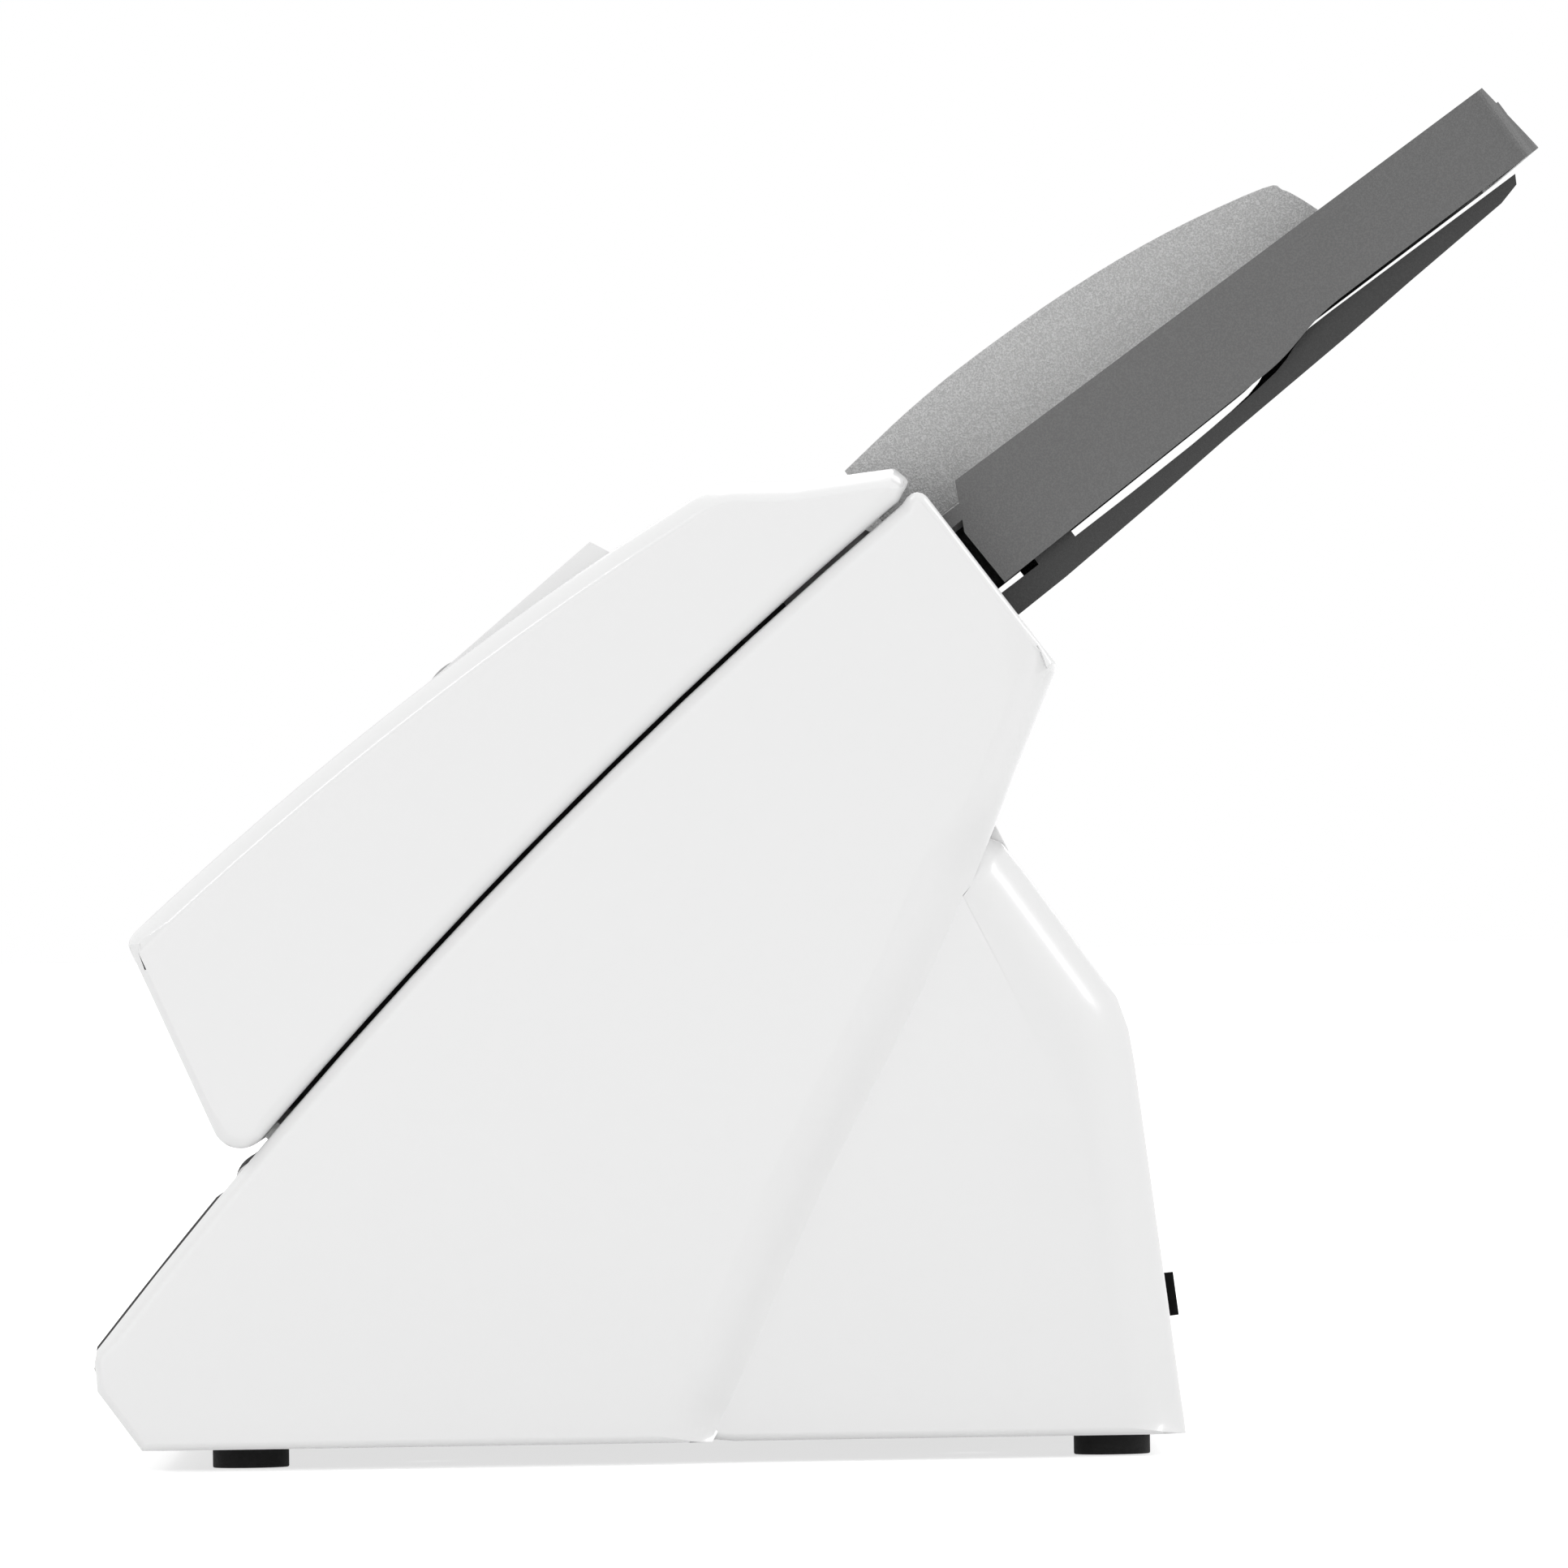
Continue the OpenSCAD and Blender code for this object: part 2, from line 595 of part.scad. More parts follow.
// Flag that the paper's front edge tips
flag_share = 0.735;
flag_drop = 12;
flag_r = 1.2;
flag_x = 48;
flag_w = 3;
flag_half = 9;
flag_c = split_at(flag_share, -flag_drop);
module flag_lugs() {
    for (side = [-1, 1]) translate([flag_x + side * (flag_half - wall), 0, 0]) difference() {
        on_split(flag_share, -guide_drop) block(-wall / 2, wall / 2, -2 * wall, 2 * wall,
            -flag_drop + guide_drop - 2 * flag_r, -wall);
        at(flag_c) rod(flag_r + run_fit, -wall, wall);
    }
}
module paper_sensor_flag() {
    color("black") placed() translate([flag_x, 0, 0]) {
        at(flag_c) rod(flag_r, -flag_half, flag_half);
        on_split(flag_share, -flag_drop) block(-flag_w / 2, flag_w / 2, -flag_r, flag_r, 0,
            flag_drop - guide_drop + paper_gap - fit);
    }
}

/* Front skin, inner deck and electronics */
apron_proud = 0.5;
apron_low_shares = [[0, 0.106], [0.0055, 0.085], [0.045, 0], [0.06, 0]];
// Outlines of the two front lips. Each point has a share of the depth, and a height from the
// exit tray's underside
lip_h = 8.2;
lip_nose_h = 3.3;
extension_drop = 5.6;
exit_lip_shares = [[0.0055, 0], [0.026, 0], [0.026, lip_h], [0.0075, lip_h], [0, lip_nose_h]];
extension_lip_shares = [[0.0075, -fit], [0.028, -extension_drop], [0.05, -extension_drop], [0.05, -fit]];
function from_exit(shares) = [for (p = shares) [p[0] * body_d, exit_z + p[1]]];
extension_half = exit_half - 2 * runner_in - runner_w / 2 + runner_w / 3;
exit_t = 2.5;
lip_top = exit_z + lip_h;
extension_z = exit_z - extension_drop;
module front_apron() {
    path = concat(reversed(split_run(0, exit_share - 0.03, apron_proud)), on_feet(apron_low_shares));
    color("dimgray") placed() difference() {
        across(mid_w) polygon(band(path, wall));
        block(-exit_half - fit, exit_half + fit, -over, 4 * wall, exit_z - fit - seat, lip_top + fit);
        block(-extension_half - fit, extension_half + fit, -over, 4 * wall, extension_z - fit, exit_z);
    }
}
deck_z = 23.5;
deck_t = 2;
deck_shares = [0.07, 0.9];
post_h = 5;
post_r = 3;
board_t = 1.6;
board_in = 26;
board_w = 92;
board_x = [board_in - cover_in, board_in + board_w - cover_in];
board_shares = [0.35, 0.8];
board_inset = 6;
module board_posts(r, z, h) {
    for (x = [board_x[0] + board_inset, board_x[1] - board_inset], s = board_shares)
        translate([x, s * body_d + sign(0.5 - s) * board_inset, z]) cylinder(r = r, h = h);
}
module chassis_deck() {
    color("silver") placed() union() {
        block(-guide_x, guide_x, deck_shares[0] * body_d, deck_shares[1] * body_d, deck_z, deck_z + deck_t);
        board_posts(post_r, deck_z, deck_t + post_h);
    }
}
chip_w = 14;
chip_t = 2;
module main_board() {
    z = deck_z + deck_t + post_h;
    y0 = board_shares[0] * body_d;
    y1 = board_shares[1] * body_d;
    color("seagreen") placed() union() {
        block(board_x[0], board_x[1], y0, y1, z, z + board_t);
        for (i = [0:2]) translate([board_x[0] + (2 * i + 1) * chip_w, (y0 + y1) / 2, z])
            block(-chip_w / 2, chip_w / 2, -chip_w / 2, chip_w / 2, 0, board_t + chip_t);
    }
}
dc_bore_r = 3.2;
dc_pin_r = 1;
module dc_inlet() {
    color("black") placed() on_rear(port_z) translate([dc_x, 0, 0]) {
        difference() {
            block(-port_w / 2, port_w / 2, -port_depth, 0, -port_h / 2, port_h / 2);
            translate([0, over, 0]) rotate([90, 0, 0]) cylinder(r = dc_bore_r,
                h = port_depth - wall + over);
        }
        rotate([90, 0, 0]) cylinder(r = dc_pin_r, h = port_depth - over);
    }
}
usb_shell = 1;
usb_tongue = 3;
module usb_socket() {
    w = port_w / 2;
    h = port_h / 2;
    color("silver") placed() on_rear(port_z) translate([usb_x, 0, 0]) {
        difference() {
            block(-w, w, -port_depth, 0, -h, h);
            block(-w + usb_shell, w - usb_shell, -port_depth + wall, over, -h + usb_shell, h - usb_shell);
        }
        block(-usb_tongue, usb_tongue, -port_depth + over, -over, -usb_tongue / 2, usb_tongue / 2);
    }
}

/* Front cover */
front_share = [0.037, 0.549];
brow_share = [0.5784, 1.0083];
door_top_shares = [[0.756, 1.0085], [0.742, 1.0215], [0.65, 1.008]];
lip_r = 1.2;
brow_r = 14;
front_r = 2.6;
front = scaled([front_share])[0];
brow = scaled([brow_share])[0];
door_top = scaled(door_top_shares);
door_w = overall_w - 2 * fit;
function face_at(u, off) = bow_at(front, brow, face_bow, u) + off * [-sin(face_angle(u)),
    cos(face_angle(u))];
function face_angle(u) = let (a = bow_at(front, brow, face_bow, u - 0.01), b = bow_at(front, brow,
    face_bow, u + 0.01)) atan2(b[1] - a[1], b[0] - a[0]);
knuckle_start = let (v = front - hinge) atan2(v[1], v[0]) + acos(knuckle_r / norm(v));
knuckle_end = 270 + split_angle(hinge_share);
knuckle_arc = [for (i = [0:arc_n]) let (a = knuckle_start + (knuckle_end - knuckle_start) * i / arc_n)
    hinge + knuckle_r * [cos(a), sin(a)]];
face_low = bow_at(front, brow, face_bow, 0.05);
face_high = bow_at(front, brow, face_bow, 0.88);
door_outline = concat(
    knuckle_arc,
    split_run(hinge_share + 0.02, 1, split_gap),
    corner(split_at(1, split_gap), door_top[0], door_top[1], lip_r),
    corner(door_top[0], door_top[1], door_top[2], lip_r),
    [door_top[2]],
    corner(door_top[2], brow, face_high, brow_r),
    reversed(bowed(front, brow, face_bow, 0.05, 0.85)),
    corner(face_low, front, knuckle_arc[0], front_r)
);
// The cover's outline before its corners are rounded, for its inner face
door_sharp = concat(
    knuckle_arc,
    split_run(hinge_share + 0.02, 0.985, split_gap),
    [door_top[1], door_top[2], brow],
    reversed(bowed(front, brow, face_bow, 0.05, 0.85)),
    [front]
);
// Where the throat's wall stands along the tray
throat_s = -18;
bulkhead_x = plate_x + steel_t + fit;
panel_w = 70;
panel_x = (throat_w - panel_w) / 2;
panel_l = 42;
panel_rise = 3.7;
panel_end = 1.4;
panel_share = 0.494;
panel_angle = face_angle(panel_share + 0.16) + atan(panel_rise / panel_l);
// The control panel's frame: Y up its slope, Z out of its face
module on_panel() {
    turned(face_at(panel_share, 0), panel_angle) translate([panel_x, 0, 0]) children();
}
release_share = 0.937;
release_w = 36;
release_l = 8;
release_proud = 1.2;
release_stem = 8;
release_stem_w = 8;
module on_release() {
    turned(face_at(release_share, 0), face_angle(release_share)) children();
}
latch_share = 0.78;
latch_off = 13;
latch_r = 2.5;
latch_out = 5.5;
latch_x = throat_w / 2 + latch_out;
latch_w = 3;
latch_arm = 2;
latch_nose = 2.5;
latch_reach = 13;
module latch_slot(side) {
    translate([side * latch_x, 0, 0]) on_split(latch_share, 0)
        block(-latch_w / 2 - fit, latch_w / 2 + fit, -latch_arm - 2 * over,
            latch_arm + latch_nose + 2 * over, -2 * latch_reach, latch_reach / 2);
}
module door_cover() {
    color("white") placed() difference() {
        union() {
            difference() {
                across(door_w) polygon(door_outline);
                difference() {
                    across(door_w - 2 * wall) polygon(inset(door_sharp, wall));
                    on_tray() block(-throat_w / 2 - wall, throat_w / 2 + wall, throat_s - wall, rail_l,
                        -rail_l, rail_l);
                }
                across(door_w - 2 * wall) polygon(concat(
                    split_run(hinge_share + 0.03, 0.985, -over),
                    reversed(split_run(hinge_share + 0.03, 0.97, split_gap + 1.5 * wall))
                ));
            }
            for (side = [-1, 1]) across(wall,
                side * (bulkhead_x + wall / 2)) polygon(inset(door_outline, over / 2));
        }
        on_tray() block(-throat_w / 2, throat_w / 2, throat_s, rail_l, -rail_l, rail_l);
        on_panel() block(-panel_w / 2 - seat, panel_w / 2 + seat, -seat, panel_l + panel_end + seat,
            -4 * wall, 2 * wall);
        on_release() block(-release_w / 2 - fit, release_w / 2 + fit, -release_l / 2 - fit,
            release_l / 2 + fit, -3 * wall, 2 * wall);
        at(hinge) {
            rod(hinge_pin_r + run_fit, -bulkhead_x - wall - over, bulkhead_x + wall + over);
            for (side = [-1, 1]) translate([side * (plate_x + steel_t / 2), 0, 0])
                rod(2 * knuckle_r, -steel_t / 2 - fit, steel_t / 2 + fit);
        }
    }
}
hinge_pin_l = 6;
module door_hinge_pins() {
    color("silver") placed() at(hinge) for (side = [-1, 1])
        translate([side * (plate_x + steel_t / 2 + wall / 4), 0, 0]) rod(hinge_pin_r, -hinge_pin_l / 2,
            hinge_pin_l / 2);
}
door_guide_shares = [0.24, 0.9];
door_flange_shares = [0.4, 0.87];
door_flange_h = 18;
door_roller_off = proud - guide_drop + nip + idler_r;
idler_shaft_r = 2;
separation_c = split_at(pick_share, door_roller_off);
idler_upper_c = split_at(upper_share, door_roller_off);
idler_lower_c = split_at(lower_share, door_roller_off);
latch_c = split_at(latch_share, latch_off);
module door_paper_guide() {
    off = paper_gap - guide_drop;
    color("dimgray") placed() difference() {
        union() {
            across(2 * guide_x) polygon(band(split_run(door_guide_shares[0], door_guide_shares[1],
                off), wall));
            for (side = [-1, 1]) across(wall, side * (guide_x - wall / 2))
                polygon(band(split_run(door_guide_shares[0] + 0.06, door_flange_shares[1], off),
                    door_flange_h));
            for (side = [-1, 1]) across(bulkhead_x - guide_x, side * (bulkhead_x - seat + guide_x) / 2)
                polygon(band(split_run(door_flange_shares[0], door_flange_shares[1] - 0.1,
                    split_gap + over), door_flange_h / 2));
        }
        guide_slots(separation_c, idler_r, pick_xs, pick_l);
        guide_slots(idler_upper_c, idler_r, tyre_xs, tyre_l);
        guide_slots(idler_lower_c, idler_r, tyre_xs, tyre_l);
        for (c = [separation_c, idler_upper_c, idler_lower_c]) at(c) {
            rod(idler_shaft_r + run_fit, -bulkhead_x, bulkhead_x);
            rod(idler_shaft_r + roller_slot, -guide_x + wall + seat, guide_x - wall - seat);
        }
        at(latch_c) rod(latch_r + run_fit, -guide_x - over, guide_x + over);
        belt_slot();
        on_split(scan_share, off)
            block(-glass_w / 2 - seat, glass_w / 2 + seat, -glass_h / 2 - seat, glass_h / 2 + seat,
                -over, 2 * wall);
        for (side = [-1, 1]) latch_slot(side);
    }
}
module door_scan_glass() {
    color("lightblue", 0.4) placed() on_split(scan_share, paper_gap - guide_drop)
        block(-glass_w / 2, glass_w / 2, -glass_h / 2, glass_h / 2, 0, glass_t);
}
module door_image_sensor() {
    color("black") placed() on_split(scan_share, paper_gap - guide_drop + wall)
        block(-sensor_w / 2, sensor_w / 2, -sensor_h / 2, sensor_h / 2, fit, sensor_d);
}
// A free roller of the front cover, its rubber moulded on its shaft
module idler(c, xs, l) {
    color("dimgray") placed() at(c) union() {
        rod(idler_shaft_r, -guide_x + fit, guide_x - fit);
        for (x = xs) rod(idler_r, x - l / 2, x + l / 2);
    }
}
module separation_roller() { idler(separation_c, pick_xs, pick_l); }
module idler_roller_upper() { idler(idler_upper_c, tyre_xs, tyre_l); }
module idler_roller_lower() { idler(idler_lower_c, tyre_xs, tyre_l); }
module latch_bar() {
    color("gainsboro") placed() union() {
        at(latch_c) rod(latch_r, -guide_x + fit, guide_x - fit);
        for (side = [-1, 1]) translate([side * latch_x, 0, 0]) on_split(latch_share, 0) {
            block(-latch_w / 2, latch_w / 2, -latch_arm, latch_arm, -latch_reach, latch_off);
            block(-latch_w / 2, latch_w / 2, -latch_arm, latch_arm + latch_nose, -latch_reach,
                -latch_reach + 2 * latch_arm);
        }
    }
}
module release_button() {
    color("gainsboro") placed() on_release() union() {
        block(-release_w / 2, release_w / 2, -release_l / 2, release_l / 2, -wall, release_proud);
        block(-release_stem_w / 2, release_stem_w / 2, -wall / 2, wall / 2, -release_stem, -wall);
    }
}
big_r = 3.65;
small_r = 2.35;
big_proud = 0.8;
small_proud = 0.3;
button_flange = 0.8;
button_travel = 0.8;
// Places of the buttons up the panel's slope
button_places = [7.6, 21.5, 35.4];
panel_board_z = -panel_rise - wall - 3.6 * over;
module control_panel() {
    color("gainsboro") placed() on_panel() difference() {
        union() {
            translate([-panel_w / 2, 0, 0]) rotate([90, 0, 90]) linear_extrude(panel_w) polygon([
                [0, 0], [panel_l, 0], [panel_l + panel_end, -panel_rise],
                [panel_l + panel_end, -panel_rise - wall], [0, -wall]
            ]);
            for (side = [-1, 1]) translate([side * (panel_w - wall) / 2, 0, 0])
                block(-wall / 2, wall / 2, over, panel_l, panel_board_z, -wall / 2);
        }
        for (i = [0:2]) translate([0, button_places[i], -4 * wall])
            cylinder(r = (i == 0 ? big_r : small_r) + seat, h = 5 * wall);
    }
}
module panel_board() {
    color("seagreen") placed() on_panel() block(-panel_w / 2, panel_w / 2, over, panel_l,
        panel_board_z - board_t, panel_board_z);
}
// A domed button in its hole, with a flange behind the panel
module button(i, r, rise) {
    dome_r = (r * r + rise * rise) / (2 * rise);
    back = -wall - panel_rise * (button_places[i] + r + button_flange) / (panel_l + panel_end) - seat;
    placed() on_panel() translate([0, button_places[i], 0]) union() {
        intersection() {
            translate([0, 0, back - over]) cylinder(r = r, h = rise - back + over);
            translate([0, 0, rise - dome_r]) sphere(r = dome_r);
        }
        translate([0, 0, back - over]) cylinder(r = r + button_flange, h = over);
    }
}
module start_button() { color("dimgray") button(0, big_r, big_proud); }
module menu_button() { color("gainsboro") button(1, small_r, small_proud); }
module stop_button() { color("dimgray") button(2, small_r, small_proud); }

/* Feed tray, in its own frame: Y along the slope, Z up from the top of its rails */
rail_t = 3;
rail_shares = [[0, 0], [-0.035, 0.58], [-0.031, 1.36], [0.048, 1.338], [0.12, 1.324], [0.36, 1.254]];
// Where the rails' lower edge steps up, in two soft bends
rail_step_shares = [[0.36, 1.254], [0.497, 1.216], [0.591, 1.028], [1, 1]];
rail_end_shares = [[1, 1], [0.984, 0]];
rail_bend_r = 35;
function on_rails(shares) = [for (p = shares) [p[0] * rail_l, -p[1] * rail_h]];
rail_outline = let (p = on_rails(rail_step_shares)) reversed(concat(
    on_rails(rail_shares),
    corner(p[0], p[1], p[2], rail_bend_r),
    corner(p[1], p[2], p[3], rail_bend_r),
    on_rails(rail_end_shares)
));
tray_corner_r = 5;
rack_s = 36;
pinion_teeth = 10;
tooth_module = 1;
pitch_r = pinion_teeth * tooth_module / 2;
tooth_pitch = PI * tooth_module;
addendum = 0.9 * tooth_module;
dedendum = 1.15 * tooth_module;
tooth_root = 1.7 * tooth_module;
tooth_tip = 0.9 * tooth_module;
rack_h = 2.4;
rack_w = 3;
guide_near = 28;
guide_travel = guide_half - guide_near;
rack_over = 14;
rack_z = -plate_drop - plate_t - fit - rack_h;
pinion_pin_r = 2;
pinion_pin_head = 3;
guide_foot_w = 10;
guide_foot_t = 1.6;
fin_t = 2.2;
fin_s = [-14.2, 79.2];
fin_steps = 4;
fin_shares = [[0, 0.87], [0.16, 0.964], [0.32, 1], [0.54, 0.97], [0.745, 0.86], [0.94, 0.658], [0.968,
    0.54], [0.984, 0.39], [1, 0.18]];
foot_s = [4, 70];
post_w = 2;
// Distance of each rack's body from the pinion's axis
rack_mid = pitch_r + dedendum + rack_w / 2;
module feed_tray() {
    far = rail_end_shares[1][0] * rail_l;
    color("dimgray") placed() on_tray() difference() {
        union() {
            intersection() {
                union() {
                    for (side = [-1, 1]) across(rail_t,
                        side * (tray_half - rail_t / 2)) polygon(rail_outline);
                    across(2 * tray_half) polygon([[far, 0], [far - rail_t, 0], [rail_l - rail_t,
                        -rail_h], [rail_l, -rail_h]]);
                    block(-tray_half, tray_half, -slope_s + 2 * over, rail_l - over, -seat_t, -plate_drop);
                }
                translate([0, 0, -rail_l]) linear_extrude(2 * rail_l) polygon(concat(
                    [[-tray_half, -rail_l], [tray_half, -rail_l]],
                    corner([tray_half, -rail_l], [tray_half, rail_l], [-tray_half, rail_l],
                        tray_corner_r, arc_n),
                    corner([tray_half, rail_l], [-tray_half, rail_l], [-tray_half, -rail_l],
                        tray_corner_r, arc_n)
                ));
            }
            block(-tray_half, tray_half, -seat_s, 0, -seat_t, -plate_drop);
            translate([0, rack_s, rack_z - pinion_pin_head / 2]) cylinder(r = pinion_pin_r,
                h = rack_h + pinion_pin_head / 2 + fit + over);
        }
        for (side = [-1, 1]) translate([0, rack_s + side * rack_mid,
            -seat_t]) mirror([side < 0 ? 1 : 0, 0, 0])
            block(guide_half - guide_travel - post_w, guide_half + guide_foot_w - post_w + fit,
                -rack_w / 2 + seat, rack_w / 2 - seat, -over, plate_t + over);
        for (side = [-1, 1]) translate([side * (tray_half - rail_t), 0, 0])
            block(-runner_depth, runner_depth + seat, runner_s[0] - 2 * fit, far - rail_t,
                -runner_top - runner_h - seat, -runner_top + seat);
    }
}
// One tooth on the pitch line, pointing along +Y
function tooth(x, y) = [[x - tooth_root / 2, y - dedendum - seat], [x + tooth_root / 2,
    y - dedendum - seat], [x + tooth_tip / 2, y + addendum], [x - tooth_tip / 2, y + addendum]];
module guide_pinion() {
    color("ivory") placed() on_tray() translate([0, rack_s, rack_z]) linear_extrude(rack_h) difference() {
        union() {
            circle(r = pitch_r - dedendum);
            for (i = [0:pinion_teeth - 1]) rotate([0, 0, 360 * i / pinion_teeth]) polygon(tooth(0,
                pitch_r));
        }
        circle(r = pinion_pin_r + run_fit);
    }
}
// The right guide; the left one is the same piece turned half round the pinion, but for its fin
module guide(side) {
    x0 = -rack_over;
    x1 = guide_half + guide_foot_w - post_w;
    teeth = floor((x1 - 2 * tooth_pitch - x0) / tooth_pitch);
    first = ceil(x0 / tooth_pitch);
    fin_l = fin_s[1] - fin_s[0];
    color("lightgray") placed() on_tray() mirror([side < 0 ? 1 : 0, 0, 0]) union() {
        across(fin_t, guide_half + fin_t / 2) polygon(concat(
            [[fin_s[1], -plate_drop + fit], [fin_s[1],
                -plate_drop + fin_shares[len(fin_shares) - 1][1] * fin_h]],
            reversed([for (p = curve(fin_shares, fin_steps)) [fin_s[0] + p[0] * fin_l,
                -plate_drop + p[1] * fin_h]]),
            [[fin_s[0], -plate_drop + fit]]
        ));
        block(guide_half, guide_half + guide_foot_w, foot_s[0], foot_s[1], -plate_drop + fit,
            -plate_drop + fit + guide_foot_t);
        translate([0, rack_s, 0]) mirror([0, side < 0 ? 1 : 0, 0]) {
            block(x1 - 2 * post_w, x1, rack_mid - rack_w / 2 + 2 * seat,
                rack_mid + rack_w / 2 - 2 * seat, rack_z, -plate_drop + 2 * fit);
            translate([0, 0, rack_z]) linear_extrude(rack_h) {
                translate([x0, rack_mid - rack_w / 2]) square([x1 - x0, rack_w]);
                for (i = [0:teeth - 1]) let (x = (first + i + 0.5) * tooth_pitch)
                    polygon([for (p = tooth(x, -pitch_r)) [p[0], -p[1]]]);
            }
        }
    }
}
module side_guide_left() { guide(-1); }
module side_guide_right() { guide(1); }

// Second tray, stored under the first and drawn out along the slope
extension_top_shares = [[0.948, 1.085], [0.603, 1.085], [0.543, 1.127], [0.483, 1.28], [0.362, 1.36],
    [0.241, 1.4], [0.121, 1.42], [0.048, 1.43], [-0.044, 1.44]];
extension_low_shares = [[-0.044, 1.78], [0.048, 1.754], [0.121, 1.711], [0.241, 1.648], [0.362, 1.57],
    [0.483, 1.514], [0.603, 1.45], [0.724, 1.373], [0.845, 1.31], [0.905, 1.275], [0.94, 1.2]];
extension_rail = 3;
// Its runners, in grooves of the first tray's rails
runner_s = [3, 11];
runner_top = 9.5;
runner_h = 2;
runner_depth = 1;
extension_w = 2 * (tray_half - rail_t - fit);
module tray_extension() {
    low = on_rails(extension_low_shares);
    color("dimgray") placed() on_tray() union() {
        for (side = [-1, 1]) across(extension_rail, side * (extension_w - extension_rail) / 2)
            polygon(concat(low, curve(on_rails(extension_top_shares), 3)));
        across(extension_w) polygon(band(low, plate_t / 2));
        for (side = [-1, 1]) {
            translate([side * (extension_w - extension_rail) / 2, 0, 0])
                block(-extension_rail / 2, extension_rail / 2, runner_s[0], runner_s[1], -1.5 * rail_h,
                    -runner_top);
            translate([side * extension_w / 2, 0, 0])
                block(-runner_depth, runner_depth, runner_s[0], runner_s[1], -runner_top - runner_h,
                    -runner_top);
        }
    }
}

/* Exit tray */
exit_rib_h = 2.5;
module exit_tray() {
    y0 = exit_lip_shares[1][0] * body_d;
    color("dimgray") placed() union() {
        across(2 * exit_half) polygon(from_exit(exit_lip_shares));
        block(-exit_half, exit_half, y0 - over, exit_l, exit_z, exit_z + exit_t);
        for (side = [-1, 1]) translate([side * (exit_half - wall / 2), 0, 0])
            block(-wall / 2, wall / 2, y0 - over, exit_l, exit_z, exit_z + exit_t + exit_rib_h);
    }
}
module exit_tray_extension() {
    y0 = extension_lip_shares[1][0] * body_d;
    color("dimgray") placed() union() {
        across(2 * extension_half) polygon(from_exit(extension_lip_shares));
        block(-extension_half, extension_half, y0, exit_l - over, extension_z,
            extension_z + exit_t - over / 2);
        for (side = [-1, 1]) translate([side * (extension_half - wall / 2), 0, 0])
            block(-wall / 2, wall / 2, y0, exit_l - over, extension_z, exit_z - fit);
    }
}

// Every sub-part of the scanner
base_pan();
side_cover_left();
side_cover_right();
rear_cover();
front_apron();
chassis_deck();
frame_plate_left();
frame_plate_right();
bearing_bushes();
lower_paper_guide();
lower_scan_glass();
lower_image_sensor();
pick_shaft();
drive_shaft_upper();
drive_shaft_lower();
exit_shaft();
pick_roller();
drive_roller_upper();
drive_roller_lower();
exit_roller();
pick_pulley();
drive_pulley_upper();
drive_pulley_lower();
exit_pulley();
exit_drive_pulley();
drive_belt();
exit_belt();
feed_motor();
motor_shaft();
motor_pulley();
main_board();
dc_inlet();
usb_socket();
power_switch_housing();
power_rocker();
rubber_feet();
case_screws();
door_hinge_pins();
door_cover();
door_paper_guide();
door_scan_glass();
door_image_sensor();
separation_roller();
idler_roller_upper();
idler_roller_lower();
latch_bar();
release_button();
control_panel();
panel_board();
start_button();
stop_button();
menu_button();
feed_tray();
tray_extension();
side_guide_left();
side_guide_right();
guide_pinion();
exit_tray();
exit_tray_extension();
paper_sensor_flag();
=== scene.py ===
import math

import bmesh
import bpy
from mathutils import Euler, Matrix, Vector


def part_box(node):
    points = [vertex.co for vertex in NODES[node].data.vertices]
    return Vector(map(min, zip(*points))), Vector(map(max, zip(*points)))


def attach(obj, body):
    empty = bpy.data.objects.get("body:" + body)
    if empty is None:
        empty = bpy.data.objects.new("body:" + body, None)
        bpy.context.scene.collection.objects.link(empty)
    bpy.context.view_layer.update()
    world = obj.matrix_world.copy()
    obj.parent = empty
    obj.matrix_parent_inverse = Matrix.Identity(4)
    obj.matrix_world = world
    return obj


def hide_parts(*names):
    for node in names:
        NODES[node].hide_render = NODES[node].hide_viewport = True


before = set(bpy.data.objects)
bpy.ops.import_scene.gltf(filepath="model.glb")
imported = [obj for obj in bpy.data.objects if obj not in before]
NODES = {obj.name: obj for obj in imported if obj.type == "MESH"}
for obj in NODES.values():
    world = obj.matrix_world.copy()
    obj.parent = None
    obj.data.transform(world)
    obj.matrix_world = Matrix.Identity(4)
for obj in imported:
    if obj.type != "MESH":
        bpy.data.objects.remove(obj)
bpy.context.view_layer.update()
MM = 0.001


# The camera and the lamps, in metres and watts

VIEW_CENTRE = Vector((150.0, -5.9, 117.3)) * MM
VIEW_WIDTH = 270.5 * MM
VIEW_DISTANCE = 4.0
VIEW_ROLL = -0.9
VIEW_REACH = 50

# Each lamp's place, the point it faces, its size across and up, and its power. The two
# strips put the thin highlights on the door's crowned edge and on the tray's corners.
LAMPS = {
    "strip_front": ((0.1, -1.25, 1.5), (0, 0, 0.1), (0.13, 0.6), 4),
    "strip_rear": ((0.5, 1.6, 1.3), (0, 0, 0.15), (0.3, 0.5), 8),
    "softbox_side": ((1.9, -0.5, 0.35), (0, 0, 0.1), (1.2, 1.2), 5.5),
    "softbox_far": ((-1.7, 0.2, 0.9), (0, 0, 0.1), (1.0, 1.0), 4),
}


